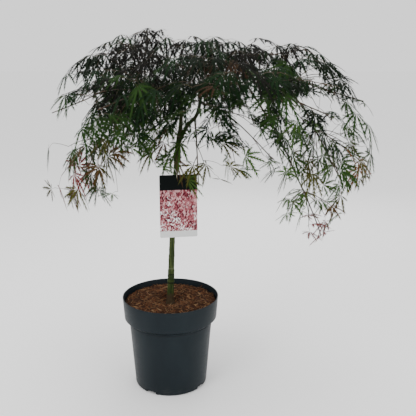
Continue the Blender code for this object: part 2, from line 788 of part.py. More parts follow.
def build_tag():
    """The plant tag: a thin card with round corners and a punched hole, turned a little."""
    bm = bmesh.new()
    bmesh.ops.create_cube(bm, size=1.0)
    bmesh.ops.scale(bm, vec=(TAG_WIDTH, TAG_THICKNESS, TAG_HEIGHT), verts=bm.verts)
    corners = [edge for edge in bm.edges if abs((edge.verts[0].co - edge.verts[1].co).y) > TAG_THICKNESS / 2]
    bmesh.ops.bevel(bm, geom=corners, offset=TAG_CORNER, segments=3, affect="EDGES", profile=0.5)
    mesh = bpy.data.meshes.new("plant_tag")
    bm.to_mesh(mesh)
    bm.free()
    tag = mesh_object("plant_tag", mesh, parts, material("tag_card", (0.55, 0.30, 0.33), 0.35))
    tag.matrix_world = tag_place()
    bpy.ops.mesh.primitive_cylinder_add(vertices=16, radius=TAG_HOLE_RADIUS, depth=0.01)
    place = Matrix.Translation(tag_hole()) @ Matrix.Rotation(math.pi / 2, 4, "X")
    cut = tag.modifiers.new("Hole", "BOOLEAN")
    cut.object = as_cutter(bpy.context.object, "tag_hole_cutter", place)


def tag_place():
    """Where the tag hangs: turned about the upright and tilted a little."""
    turn = Matrix.Rotation(TAG_TURN, 4, "Z") @ Matrix.Rotation(TAG_TILT, 4, "Y")
    return Matrix.Translation(TAG_CENTRE) @ turn


def tag_hole():
    """The middle of the tag's hole, in front of the trunk."""
    return tag_place() @ Vector((TAG_HOLE_ACROSS, 0.0, TAG_HEIGHT / 2 - TAG_HOLE_DROP))


def build_tie(trunk):
    """The tie: a loop round the trunk that threads the tag's hole from the front and passes over its top."""
    stem, stem_radius = trunk.at_level(TIE_LEVEL)
    radius = stem_radius + TIE_RADIUS + 2 * GAP
    hole = tag_hole()
    back = []
    for step in range(11):
        angle = math.radians(-35.0 + 25.0 * step)
        back.append(Vector((stem.x + radius * math.cos(angle), radius * math.sin(angle), TIE_LEVEL)))
    middle = (stem.x + hole.x) / 2
    top = TAG_CENTRE.z + TAG_HEIGHT / 2
    front = [
        Vector((middle - 0.0045, -0.0105, TIE_LEVEL - 0.003)),
        Vector((hole.x - 0.0015, hole.y + 0.0030, top + 0.0075)),
        Vector((hole.x - 0.0005, hole.y - 0.0025, top + 0.0035)),
        Vector((hole.x, hole.y - 0.0050, hole.z + 0.0050)),
        Vector((hole.x, hole.y - 0.0030, hole.z + 0.0010)),
        Vector((hole.x, hole.y, hole.z + 0.0005)),
        Vector((hole.x + 0.0010, hole.y + 0.0040, hole.z + 0.0035)),
        Vector((hole.x + 0.0030, hole.y + 0.0070, hole.z + 0.0120)),
        Vector((middle + 0.0060, -0.0085, TIE_LEVEL - 0.006)),
    ]
    points = back + front
    tie = tube_curve("tag_tie", points, [TIE_RADIUS] * len(points), 6, parts, cyclic=True)
    curves_to_meshes([tie], material("tie_elastic", (0.55, 0.55, 0.52), 0.6))


def main():
    """Build the pot, the mulch, the limbs, the foliage and the tag."""
    build_pot()
    build_mulch()
    limbs = fork_limbs()
    build_foliage(limbs)
    parents = {f"bough_{mass.name}": (mass.parent,) for mass in MASSES}
    parents["side_bough"] = ("trunk", "leader")
    build_limbs(limbs, parents, material("bark", (0.055, 0.060, 0.028), 0.75))
    build_tag()
    build_tie(limbs["trunk"])
    for item in [item for item in bpy.data.objects if item.name.startswith("ring_profile")]:
        bpy.data.objects.remove(item)


for old in list(bpy.data.objects):
    bpy.data.objects.remove(old)
parts = collection("Potted weeping maple")
guides = collection("Cutters and guides")
main()
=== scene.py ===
"""The looks of a weeping cut-leaf maple in its nursery pot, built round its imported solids.

Metres, +Z up, in the solids' own frame: the origin is on the pot's axis, on its flat underside,
and -Y is the side that the plant tag faces. The crown grows by the same seeded rule as the solids,
carried to finer twigs inside the same spaces, and every leaf is a closed thin mesh in its own outline.
"""

import json
import logging
import math
import random
from dataclasses import dataclass, field
from enum import Enum

import bmesh
import bpy
import numpy as np
from mathutils import Matrix, Vector, noise

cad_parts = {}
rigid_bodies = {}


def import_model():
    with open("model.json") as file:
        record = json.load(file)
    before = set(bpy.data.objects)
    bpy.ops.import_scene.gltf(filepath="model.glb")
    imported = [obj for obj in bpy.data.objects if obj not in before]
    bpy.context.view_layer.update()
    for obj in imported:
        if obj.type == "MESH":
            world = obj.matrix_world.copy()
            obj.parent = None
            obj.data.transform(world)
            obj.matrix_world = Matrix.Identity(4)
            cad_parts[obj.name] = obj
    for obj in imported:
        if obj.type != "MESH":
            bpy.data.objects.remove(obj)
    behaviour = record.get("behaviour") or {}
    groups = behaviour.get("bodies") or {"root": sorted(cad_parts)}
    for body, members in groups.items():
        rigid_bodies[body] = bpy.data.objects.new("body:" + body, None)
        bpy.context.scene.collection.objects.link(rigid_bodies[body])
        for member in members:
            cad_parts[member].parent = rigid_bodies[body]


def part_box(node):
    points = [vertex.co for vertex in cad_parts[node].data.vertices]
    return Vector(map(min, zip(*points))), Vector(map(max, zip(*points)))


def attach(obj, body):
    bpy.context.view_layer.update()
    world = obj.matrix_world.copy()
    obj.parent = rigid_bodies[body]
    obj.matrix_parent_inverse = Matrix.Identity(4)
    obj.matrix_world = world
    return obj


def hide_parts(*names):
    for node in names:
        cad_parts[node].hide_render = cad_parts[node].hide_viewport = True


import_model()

LOG = logging.getLogger("potted_maple")
UP = Vector((0.0, 0.0, 1.0))
GOLDEN_ANGLE = math.radians(137.5)
MERGE = 0.00002
SAME_PLACE = 0.000001
ROOT_BODY = "root"
POINT_ATTRIBUTES = ("girth", "reach", "turn", "size", "sag", "kind")

Triple = tuple[float, float, float]
Colour = Triple
Stops = tuple[tuple[float, Colour], ...]
Span = tuple[float, float]
Line = list[Vector]
Home = bpy.types.Collection
Item = bpy.types.Object
Material = bpy.types.Material
Mesh = bpy.types.Mesh
Sketch = bmesh.types.BMesh
Socket = bpy.types.NodeSocket
Feeds = dict[int | str, object]
Tree = bpy.types.NodeTree


# Tools that every sub-assembly uses


class NodeTools:
    """What the node trees of shapes and those of materials share."""

    tree: Tree

    def node(self, kind: str, feeds: Feeds | None = None, **settings: object) -> bpy.types.Node:
        """Add a node, with its properties set and its inputs filled or linked.

        Args:
            kind: The node's type.
            feeds: Values or sockets for its inputs, by name or index.
            **settings: Properties set on the node before its sockets.

        Returns:
            The new node.
        """
        made = self.tree.nodes.new(kind)
        for label, value in settings.items():
            setattr(made, label, value)
        for label, value in (feeds or {}).items():
            if isinstance(value, Socket):
                self.tree.links.new(value, made.inputs[label])
            else:
                made.inputs[label].default_value = value
        return made

    def math(self, operation: str, first: object, second: object = 0.0) -> Socket:
        """The result of a number operation on two values or sockets."""
        return self.node("ShaderNodeMath", {0: first, 1: second}, operation=operation).outputs[0]

    def times(self, *values: object) -> Socket:
        """The product of two or more values or sockets."""
        made, *others = values
        for value in others:
            made = self.math("MULTIPLY", made, value)
        return made

    def plus(self, first: object, second: object) -> Socket:
        """The sum of two values or sockets."""
        return self.math("ADD", first, second)


@dataclass
class GeometryTree(NodeTools):
    """A Geometry Nodes tree with named inputs, put together step by step.

    Args:
        name: The tree's name.
        inputs: Socket types by the names of the inputs that follow the geometry.
    """

    name: str
    inputs: dict[str, str]

    def __post_init__(self) -> None:
        """Make the tree, its interface and its two end nodes."""
        self.tree = bpy.data.node_groups.new(self.name, "GeometryNodeTree")
        inputs = {"Geometry": "Geometry", **self.inputs, "Finish": "Material"}
        for label, kind in inputs.items():
            self.tree.interface.new_socket(label, in_out="INPUT", socket_type=f"NodeSocket{kind}")
        self.tree.interface.new_socket("Geometry", in_out="OUTPUT", socket_type="NodeSocketGeometry")
        self.given = self.tree.nodes.new("NodeGroupInput").outputs
        self.exit = self.tree.nodes.new("NodeGroupOutput")

    def attribute(self, name: str, data_type: str = "FLOAT") -> Socket:
        """The value of a named attribute."""
        made = self.node("GeometryNodeInputNamedAttribute", {"Name": name}, data_type=data_type)
        return made.outputs["Attribute"]

    def strewn(self, points: Socket, collection: str, feeds: dict[str, object]) -> Socket:
        """Set one of a collection input's objects on each point, with its own place left out.

        Args:
            points: The points.
            collection: The name of the collection input.
            feeds: Values or sockets for the objects' choice, turn and size.

        Returns:
            The instances.
        """
        shapes = {"Collection": self.given[collection], "Separate Children": True, "Reset Children": True}
        shapes = self.node("GeometryNodeCollectionInfo", shapes).outputs[0]
        feeds = {"Points": points, "Instance": shapes, "Pick Instance": True, **feeds}
        return self.node("GeometryNodeInstanceOnPoints", feeds).outputs[0]

    def close(self, geometry: Socket) -> Tree:
        """Realize the instances, set the material and finish the tree.

        Args:
            geometry: The socket that holds the finished geometry.

        Returns:
            The tree.
        """
        real = self.node("GeometryNodeRealizeInstances", {"Geometry": geometry}).outputs[0]
        dressed = self.node("GeometryNodeSetMaterial", {"Geometry": real, "Material": self.given["Finish"]})
        self.tree.links.new(dressed.outputs[0], self.exit.inputs[0])
        return self.tree


def place_object(name: str, data: bpy.types.ID) -> Item:
    """An object for a mesh, a curve, a lamp or a camera, at the origin of the scene."""
    made = bpy.data.objects.new(name, data)
    bpy.context.scene.collection.objects.link(made)
    return made


def evaluated_mesh(item: Item) -> Mesh:
    """The mesh of an object with its modifiers applied."""
    bpy.context.view_layer.update()
    graph = bpy.context.evaluated_depsgraph_get()
    return bpy.data.meshes.new_from_object(item.evaluated_get(graph))


def apply_modifiers(item: Item) -> Item:
    """Give an object its evaluated mesh and take its modifiers away."""
    mesh = evaluated_mesh(item)
    item.modifiers.clear()
    item.data = mesh
    return item


def add_modifier(item: Item, name: str, kind: str, **settings: object) -> None:
    """Add a modifier to an object and set its properties."""
    modifier = item.modifiers.new(name, kind)
    for label, value in settings.items():
        setattr(modifier, label, value)


def empty(home: Home) -> None:
    """Remove a collection's objects."""
    for item in list(home.objects):
        bpy.data.objects.remove(item)


def grow_from(name: str, source: Mesh, tree: Tree, values: dict[str, object]) -> Item:
    """Run a Geometry Nodes tree on a mesh and keep what it makes as a plain mesh object.

    Args:
        name: The name of the object.
        source: The mesh that the tree starts from.
        tree: The tree.
        values: The tree's inputs, by name.

    Returns:
        The object, with no modifier left on it.
    """
    item = place_object(name, source)
    modifier = item.modifiers.new("Grow", "NODES")
    modifier.node_group = tree
    for socket in tree.interface.items_tree:
        if socket.in_out == "INPUT" and socket.name in values:
            modifier[socket.identifier] = values[socket.name]
    apply_modifiers(item)
    item.data.name = name
    for layer in [layer.name for layer in item.data.attributes if layer.name in POINT_ATTRIBUTES]:
        item.data.attributes.remove(item.data.attributes[layer])
    return item


def point_mesh(name: str, points: Line, edges: list[tuple[int, int]], layers: dict[str, list]) -> Mesh:
    """A mesh of bare points and edges that carries attributes for a Geometry Nodes tree.

    Args:
        name: The mesh's name.
        points: The points.
        edges: Pairs of point indices.
        layers: Values for each point by attribute name: numbers, whole numbers or vectors.

    Returns:
        The mesh.
    """
    mesh = bpy.data.meshes.new(name)
    mesh.from_pydata([tuple(point) for point in points], edges, [])
    for label, values in layers.items():
        values = np.array(values)
        if values.ndim == 2:
            kind, key = "FLOAT_VECTOR", "vector"
        else:
            kind, key = ("INT" if values.dtype.kind == "i" else "FLOAT"), "value"
        numbers = values.ravel().astype(np.int32 if kind == "INT" else np.float32)
        mesh.attributes.new(label, kind, "POINT").data.foreach_set(key, numbers)
    return mesh


def drawn_mesh(name: str, sketch: Sketch, *finishes: Material) -> Mesh:
    """A mesh with what was drawn in a sketch, which is used up.

    Args:
        name: The mesh's name.
        sketch: What was drawn.
        *finishes: The mesh's materials.

    Returns:
        The mesh.
    """
    mesh = bpy.data.meshes.new(name)
    sketch.to_mesh(mesh)
    sketch.free()
    for finish in finishes:
        mesh.materials.append(finish)
    return mesh


def turned(ring: list) -> list:
    """A ring's points from its second one round to its first."""
    return ring[1:] + ring[:1]


def turns(count: int) -> list[float]:
    """Angles in even steps round a circle."""
    return [math.tau * step / count for step in range(count)]


def skin(sketch: Sketch, rings: list[list]) -> None:
    """Join rings of points into a tube with flat caps."""
    for first, second in zip(rings, rings[1:]):
        for quad in zip(first, turned(first), turned(second), second):
            sketch.faces.new(quad)
    sketch.faces.new(rings[0][::-1])
    sketch.faces.new(rings[-1])


def outward(mesh: Mesh) -> Mesh:
    """Merge a closed mesh's doubles and turn its faces outwards."""
    sketch = bmesh.new()
    sketch.from_mesh(mesh)
    bmesh.ops.remove_doubles(sketch, verts=sketch.verts, dist=MERGE)
    bmesh.ops.recalc_face_normals(sketch, faces=sketch.faces)
    sketch.to_mesh(mesh)
    sketch.free()
    return mesh


def arc(centre: Span, reach: Span, turn: Span, steps: int) -> list[Span]:
    """Points on part of an ellipse.

    Args:
        centre: Its middle.
        reach: Its half sizes, negative to mirror it.
        turn: The angles of the first and the last point, in degrees.
        steps: How many steps lie between them.

    Returns:
        The points, as pairs.
    """
    made = []
    for step in range(steps + 1):
        angle = math.radians(turn[0] + (turn[1] - turn[0]) * step / steps)
        made.append((centre[0] + math.cos(angle) * reach[0], centre[1] + math.sin(angle) * reach[1]))
    return made


def clamp(value: float) -> float:
    """A value kept between 0 and 1."""
    return min(1.0, max(0.0, value))


def between(span: Span, share: float) -> float:
    """The value at a share of the way from a span's first value to its second."""
    return span[0] + (span[1] - span[0]) * share


def length_of(line: Line) -> float:
    """The length of a line of points."""
    return sum((second - first).length for first, second in zip(line, line[1:]))


def smooth_line(points: Line, pieces: int) -> Line:
    """Points on a Catmull-Rom curve through the given points.

    Args:
        points: The points to pass through.
        pieces: How many pieces each span between them has.

    Returns:
        The curve's points.
    """
    ends = [points[0] * 2 - points[1], *points, points[-1] * 2 - points[-2]]
    line = []
    for a, b, c, d in zip(ends, ends[1:], ends[2:], ends[3:]):
        for step in range(pieces):
            t = step / pieces
            bend = (2 * a - 5 * b + 4 * c - d) * t**2 + (3 * b - a - 3 * c + d) * t**3
            line.append(0.5 * (2 * b + (c - a) * t + bend))
    line.append(points[-1].copy())
    return line


def smooth_radii(radii: list[float] | tuple[float, ...], pieces: int) -> list[float]:
    """A radius for each point of a smooth line."""
    made = []
    for first, second in zip(radii, radii[1:]):
        made += [first + (second - first) * step / pieces for step in range(pieces)]
    return [*made, radii[-1]]


def finish_piece(item: Item, nodes: list[str]) -> Item:
    """Hand a finished piece to the frame.

    Args:
        item: The piece.
        nodes: The nodes that it stands for.

    Returns:
        The piece.
    """
    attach(item, ROOT_BODY)
    if nodes:
        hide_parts(*nodes)
    LOG.info("%s: %d faces", item.name, len(item.data.polygons))
    return item


# Finishes


@dataclass(frozen=True)
class Noise:
    """A noise pattern, about 0.5 on average."""

    scale: float
    detail: float = 3.0
    rough: float = 0.55
    stretch: Triple = (1.0, 1.0, 1.0)


@dataclass(frozen=True)
class Relief:
    """How far a pattern raises a surface, in metres, and how strongly it shows."""

    depth: float
    strength: float


@dataclass
class Shader(NodeTools):
    """A Principled material, put together step by step.

    Args:
        name: The material's name.
        plain: Values for the shader's own sockets, by name.
    """

    name: str
    plain: dict[str, object]

    def __post_init__(self) -> None:
        """Make the material and set its shader's sockets."""
        self.made = bpy.data.materials.new(self.name)
        self.made.use_nodes = True
        self.tree = self.made.node_tree
        self.surface = self.tree.nodes["Principled BSDF"]
        for label, value in self.plain.items():
            self.surface.inputs[label].default_value = (*value, 1.0) if isinstance(value, tuple) else value

    def place(self, stretch: Triple = (1.0, 1.0, 1.0)) -> Socket:
        """Object coordinates, stretched along the axes."""
        spot = self.node("ShaderNodeTexCoord").outputs["Object"]
        return self.node("ShaderNodeMapping", {"Vector": spot, "Scale": stretch}).outputs[0]

    def noise(self, pattern: Noise, where: Socket | None = None) -> Socket:
        """A noise pattern's value, in object coordinates unless another place is given."""
        where = where or self.place(pattern.stretch)
        feeds = {"Vector": where, "Scale": pattern.scale}
        feeds |= {"Detail": pattern.detail, "Roughness": pattern.rough}
        return self.node("ShaderNodeTexNoise", feeds).outputs["Fac"]

    def ramp(self, factor: Socket, stops: Stops) -> Socket:
        """A colour for a value, from stops in rising order."""
        made = self.node("ShaderNodeValToRGB", {"Fac": factor})
        band = made.color_ramp
        while len(band.elements) < len(stops):
            band.elements.new(1.0)
        for element, (spot, colour) in zip(band.elements, stops):
            element.position = spot
            element.color = (*colour, 1.0)
        return made.outputs["Color"]

    def greys(self, factor: Socket, spots: Span, levels: Span) -> Socket:
        """A grey level for a value, from two stops."""
        return self.ramp(factor, tuple((spot, (level,) * 3) for spot, level in zip(spots, levels)))

    def blend(self, factor: object, first: object, second: object) -> Socket:
        """Two colours mixed by a factor."""
        feeds = {"Factor": factor}
        for index, value in ((6, first), (7, second)):
            feeds[index] = value if isinstance(value, Socket) else (*value, 1.0)
        return self.node("ShaderNodeMix", feeds, data_type="RGBA").outputs[2]

    def band(self, value: Socket, low: float, high: float) -> Socket:
        """0 below the low limit, 1 above the high one and a smooth rise between them."""
        feeds = {"Value": value, "From Min": low, "From Max": high}
        return self.node("ShaderNodeMapRange", feeds, interpolation_type="SMOOTHSTEP").outputs["Result"]

    def split(self, where: Socket, axis: str) -> Socket:
        """One axis of a place."""
        return self.node("ShaderNodeSeparateXYZ", {0: where}).outputs[axis]

    def raise_by(self, height: Socket, relief: Relief) -> None:
        """Raise the surface by a height pattern."""
        feeds = {"Height": height, "Distance": relief.depth, "Strength": relief.strength}
        self.link(self.node("ShaderNodeBump", feeds).outputs["Normal"], "Normal")

    def link(self, value: Socket, label: str) -> None:
        """Feed one of the shader's sockets."""
        self.tree.links.new(value, self.surface.inputs[label])


class Named(Enum):
    """Options whose names are used in the names of pieces and materials."""

    @property
    def label(self) -> str:
        """The option's name in small letters."""
        return self.name.lower()


class Tint(Named):
    """The tints of the leaves: a linear colour for each, from the shaded top to the turning tips."""

    PLUM_BLACK = (0.0080, 0.0078, 0.0062)
    NIGHT_GREEN = (0.0060, 0.0108, 0.0056)
    DEEP_GREEN = (0.0068, 0.0195, 0.0066)
    FOREST_GREEN = (0.0175, 0.0420, 0.0090)
    FRESH_GREEN = (0.040, 0.084, 0.015)
    OLIVE = (0.056, 0.056, 0.012)
    BRONZE = (0.066, 0.036, 0.013)
    BROWN = (0.036, 0.019, 0.010)
    RED = (0.140, 0.018, 0.015)
    ORANGE = (0.180, 0.062, 0.014)


@dataclass(frozen=True)
class LeafFinish:
    """A leaf's blade: one plain tint with a soft sheen and fine veins in relief."""

    tint: Tint
    roughness: float = 0.62
    sheen: float = 0.05
    veins: Noise = Noise(420.0, 2.0)
    relief: Relief = Relief(0.0004, 0.5)

    def build(self) -> Material:
        """The blade's material."""
        plain = {"Base Color": self.tint.value, "Roughness": self.roughness, "Specular IOR Level": self.sheen}
        shader = Shader(f"leaf_{self.tint.label}", plain)
        shader.raise_by(shader.noise(self.veins), self.relief)
        return shader.made


@dataclass(frozen=True)
class GrainFinish:
    """Tones mixed by a noise, over the relief of that noise or of a finer one.

    Args:
        name: The material's name.
        cloud: The noise that mixes the tones.
        tones: The tones, with the noise's value at each.
        relief: How far the surface is raised.
        grain: The noise that raises it, where it isn't the cloud.
        patches: A coarser noise that takes half of the cloud's share in the mix.
        roughness: The surface's roughness.
        sheen: The surface's specular level.
    """

    name: str
    cloud: Noise
    tones: Stops
    relief: Relief
    grain: Noise | None = None
    patches: Noise | None = None
    roughness: float = 0.5
    sheen: float = 0.5

    def build(self) -> Material:
        """The material."""
        shader = Shader(self.name, {"Roughness": self.roughness, "Specular IOR Level": self.sheen})
        cloud = mixed = shader.noise(self.cloud)
        if self.patches:
            mixed = shader.plus(shader.times(cloud, 0.5), shader.times(shader.noise(self.patches), 0.5))
        shader.link(shader.ramp(mixed, self.tones), "Base Color")
        shader.raise_by(shader.noise(self.grain) if self.grain else cloud, self.relief)
        return shader.made


def twig_finish(name: str, dark: Colour, light: Colour, roughness: float = 0.5) -> GrainFinish:
    """Young bark: thin and smooth with small scars."""
    tones = ((0.36, dark), (0.66, light))
    return GrainFinish(name, Noise(38.0), tones, Relief(0.0002, 0.6), Noise(900.0, 2.0), None, roughness, 0.2)


TWIG_BARK = twig_finish("twig_bark", (0.022, 0.016, 0.010), (0.070, 0.040, 0.022))
STALK_SKIN = twig_finish("leaf_stalks", (0.035, 0.028, 0.014), (0.085, 0.070, 0.030))
BOUGH_BARK = twig_finish("bough_bark", (0.020, 0.021, 0.011), (0.060, 0.052, 0.024), 0.62)
POTTING_SOIL = GrainFinish(
    "potting_soil",
    Noise(260.0, 6.0, 0.7),
    ((0.36, (0.010, 0.006, 0.004)), (0.56, (0.045, 0.020, 0.011)), (0.74, (0.110, 0.055, 0.028))),
    Relief(0.003, 1.0),
    roughness=0.95,
    sheen=0.08,
)
TIE_ELASTIC = GrainFinish(
    "tie_elastic",
    Noise(300.0),
    ((0.35, (0.46, 0.46, 0.43)), (0.70, (0.62, 0.62, 0.59))),
    Relief(0.0001, 0.6),
    Noise(1500.0),
    roughness=0.6,
)
TAG_CARD = GrainFinish(
    "tag_card",
    Noise(35.0),
    ((0.30, (0.62, 0.63, 0.62)), (0.70, (0.72, 0.73, 0.72))),
    Relief(0.00005, 0.4),
    Noise(900.0),
    roughness=0.4,
)


class BarkTone(Named):
    """The tones of the shredded bark, from wet and dark to dry and pale."""

    WET = ((0.022, 0.009, 0.006), (0.060, 0.024, 0.013))
    RED = ((0.070, 0.026, 0.012), (0.150, 0.060, 0.026))
    BROWN = ((0.095, 0.045, 0.020), (0.200, 0.105, 0.048))
    PALE = ((0.170, 0.092, 0.042), (0.330, 0.205, 0.110))

    def build(self) -> Material:
        """The shreds' material: fine fibres mixed with coarser patches."""
        dark, light = self.value
        tones, fibres, patches = ((0.38, dark), (0.62, light)), Noise(520.0, 4.0, 0.65), Noise(46.0, 2.0)
        relief = Relief(0.0006, 0.8)
        return GrainFinish(f"bark_{self.label}", fibres, tones, relief, None, patches, 0.88, 0.12).build()


@dataclass(frozen=True)
class BarkFinish:
    """The stem's bark: brown at the foot, green with pale streaks up the stem, brown-green at the graft.

    Each ring holds its lower and upper level, its share and its colour.
    """

    name: str = "stem_bark"
    sheen: float = 0.08
    foot: Colour = (0.056, 0.036, 0.018)
    foot_dark: Colour = (0.030, 0.022, 0.014)
    green: Colour = (0.025, 0.039, 0.0105)
    deep: Colour = (0.010, 0.019, 0.006)
    pale: Colour = (0.064, 0.080, 0.024)
    graft: Colour = (0.040, 0.038, 0.016)
    crown: Colour = (0.017, 0.018, 0.010)
    foot_ends: Span = (0.306, 0.322)
    graft_starts: Span = (0.745, 0.800)
    crown_starts: Span = (0.860, 0.950)
    streaks: Noise = Noise(210.0, 4.0, 0.55, (1.0, 1.0, 0.08))
    wobble: Noise = Noise(60.0)
    wobble_reach: float = 0.03
    mottle: Noise = Noise(130.0, 4.0)
    spots: Noise = Noise(330.0, 1.0, 0.55, (1.0, 1.0, 2.2))
    spot_edge: Span = (0.66, 0.72)
    spot_share: float = 0.5
    ring_edge: float = 0.002
    relief: Relief = Relief(0.0006, 0.7)
    rings: tuple[tuple, ...] = (
        (0.332, 0.338, 0.85, (0.007, 0.010, 0.005)),
        (0.346, 0.362, 0.60, (0.012, 0.022, 0.007)),
        (0.362, 0.366, 0.85, (0.006, 0.009, 0.004)),
        (0.382, 0.386, 0.70, (0.090, 0.100, 0.058)),
        (0.424, 0.427, 0.55, (0.012, 0.018, 0.006)),
    )

    def build(self) -> Material:
        """The bark's material."""
        shader = Shader(self.name, {"Specular IOR Level": self.sheen})
        streaks = shader.noise(self.streaks)
        stem = shader.ramp(streaks, ((0.34, self.deep), (0.50, self.green), (0.70, self.pale)))
        height = shader.split(shader.place(), "Z")
        level = shader.plus(height, shader.times(shader.noise(self.wobble), self.wobble_reach))
        mottle = shader.noise(self.mottle)
        colour = shader.blend(mottle, self.foot, self.foot_dark)
        colour = shader.blend(shader.band(level, *self.foot_ends), colour, stem)
        for low, high, share, tone in self.rings:
            inside = shader.times(shader.band(height, low, low + self.ring_edge), share)
            outside = shader.math("SUBTRACT", 1.0, shader.band(height, high, high + self.ring_edge))
            colour = shader.blend(shader.times(inside, outside), colour, tone)
        graft = shader.blend(mottle, self.graft, self.deep)
        colour = shader.blend(shader.band(level, *self.graft_starts), colour, graft)
        colour = shader.blend(shader.band(level, *self.crown_starts), colour, self.crown)
        spots = shader.times(shader.band(shader.noise(self.spots), *self.spot_edge), self.spot_share)
        shader.link(shader.blend(spots, colour, self.pale), "Base Color")
        shader.link(shader.greys(mottle, (0.30, 0.70), (0.42, 0.66)), "Roughness")
        shader.raise_by(shader.plus(streaks, mottle), self.relief)
        return shader.made


@dataclass(frozen=True)
class PotPlastic:
    """Moulded near-black blue-grey plastic, handled and slightly dusty."""

    name: str = "pot_plastic"
    sheen: float = 0.13
    base: Colour = (0.0056, 0.0096, 0.0126)
    worn: Colour = (0.0090, 0.0145, 0.0180)
    dust: Colour = (0.0420, 0.0420, 0.0390)
    cloud: Noise = Noise(9.0, 4.0, 0.6, (1.0, 1.0, 0.45))
    scuffs: Noise = Noise(55.0, 5.0, 0.7, (1.0, 1.0, 6.0))
    grain: Noise = Noise(1400.0, 2.0)
    relief: Relief = Relief(0.00006, 0.5)
    dusty_height: float = 0.045
    dust_share: float = 0.45
    mark_share: float = 0.16

    def build(self) -> Material:
        """The pot's material."""
        shader = Shader(self.name, {"Specular IOR Level": self.sheen})
        colour = shader.ramp(shader.noise(self.cloud), ((0.35, self.base), (0.70, self.worn)))
        scuffs = shader.noise(self.scuffs)
        height = shader.split(shader.place(), "Z")
        low = shader.math("SUBTRACT", 1.0, shader.band(height, 0.0, self.dusty_height))
        dusty = shader.times(low, shader.band(scuffs, 0.48, 0.66), self.dust_share)
        marks = shader.times(shader.band(scuffs, 0.60, 0.74), self.mark_share)
        shader.link(shader.blend(shader.plus(dusty, marks), colour, self.dust), "Base Color")
        shader.link(shader.greys(scuffs, (0.30, 0.75), (0.34, 0.52)), "Roughness")
        shader.raise_by(shader.noise(self.grain), self.relief)
        return shader.made


@dataclass(frozen=True)
class PrintFinish:
    """The tag's printed face: a dark top band, long petals in pinks and crimson on white, a plain foot strip.

    It reads the card's own UV map, in metres from the card's lower left corner. Each layer of petals holds
    their turn in degrees, their scale and their reach.
    """

    width: float
    height: float
    name: str = "tag_print"
    roughness: float = 0.45
    sheen: float = 0.05
    band_share: float = 0.755
    strip_share: float = 0.100
    band_edge: float = 0.003
    strip_edge: float = 0.004
    band_tone: Colour = (0.0022, 0.0038, 0.0036)
    strip_tone: Colour = (0.60, 0.61, 0.60)
    ground: Colour = (0.74, 0.74, 0.74)
    shade: Stops = ((0.40, (0.024, 0.005, 0.008)), (0.62, (0.240, 0.070, 0.080)))
    rise_weight: float = 0.62
    lean_weight: float = 0.30
    cloud_weight: float = 1.9
    fill_weight: float = 0.30
    fill_offset: float = 0.36
    shade_starts: Span = (1.20, 1.42)
    rim: Span = (0.05, 0.34)
    rim_weight: float = 0.22
    stretch: float = 2.8
    layers: tuple[Triple, ...] = (
        (62.0, 120.0, 0.36),
        (-52.0, 150.0, 0.36),
        (18.0, 165.0, 0.34),
        (-24.0, 205.0, 0.30),
    )
    petals: Stops = (
        (0.00, (0.016, 0.003, 0.006)),
        (0.26, (0.080, 0.008, 0.016)),
        (0.52, (0.190, 0.034, 0.046)),
        (0.78, (0.330, 0.105, 0.120)),
        (1.00, (0.560, 0.330, 0.335)),
    )

    def build(self) -> Material:
        """The print's material."""
        shader = Shader(self.name, {"Roughness": self.roughness, "Specular IOR Level": self.sheen})
        spot = shader.node("ShaderNodeTexCoord").outputs["UV"]
        rise = shader.split(spot, "Y")
        colour = self.blossoms(shader, spot, rise)
        strip = self.above(shader, rise, self.strip_share, self.strip_edge)
        band = self.above(shader, rise, self.band_share, self.band_edge)
        colour = shader.blend(band, shader.blend(strip, self.strip_tone, colour), self.band_tone)
        shader.link(colour, "Base Color")
        return shader.made

    def above(self, shader: Shader, rise: Socket, share: float, edge: float) -> Socket:
        """1 above a share of the card's height and 0 below it, with a narrow rise between."""
        return shader.band(rise, self.height * share, self.height * (share + edge))

    def blossoms(self, shader: Shader, spot: Socket, rise: Socket) -> Socket:
        """Long petals of several pinks and crimsons, dense near the band and sparse near the foot.

        Args:
            shader: The material that takes the nodes.
            spot: The place on the card.
            rise: The height on the card.

        Returns:
            The pattern's colour.
        """
        share = shader.node("ShaderNodeMapRange", {"Value": rise, "From Max": self.height}).outputs["Result"]
        lean = shader.times(shader.split(spot, "X"), self.lean_weight / self.width)
        cloud = shader.times(shader.noise(Noise(24.0, 2.0), spot), self.cloud_weight)
        fill = shader.plus(shader.plus(shader.times(share, self.rise_weight), lean), cloud)
        shade = shader.ramp(shader.noise(Noise(150.0), spot), self.shade)
        colour = shader.blend(shader.band(fill, *self.shade_starts), self.ground, shade)
        for turn, scale, reach in self.layers:
            angle = math.radians(turn)
            feeds = {"Vector": spot, "Rotation": (0.0, 0.0, angle), "Scale": (1.0, self.stretch, 1.0)}
            turned = shader.node("ShaderNodeMapping", feeds, vector_type="TEXTURE").outputs[0]
            feeds = {"Vector": turned, "Scale": scale, "Randomness": 1.0}
            cells = shader.node("ShaderNodeTexVoronoi", feeds, voronoi_dimensions="2D").outputs
            limit = shader.plus(shader.times(fill, self.fill_weight), reach - self.fill_offset)
            inside = shader.math("LESS_THAN", cells["Distance"], limit)
            hue = shader.node("ShaderNodeSeparateColor", {0: cells["Color"]}).outputs[0]
            rim = shader.times(shader.band(cells["Distance"], *self.rim), self.rim_weight)
            colour = shader.blend(inside, colour, shader.ramp(shader.plus(hue, rim), self.petals))
        return colour


# The rule that the crown grows by, as in the solids


@dataclass(frozen=True)
class Mass:
    """One mass of foliage: its ellipsoid, the limb that its bough leaves, and its main twigs."""

    name: str
    centre: Triple
    half: Triple
    parent: str
    along: float
    rise: float
    twigs: int


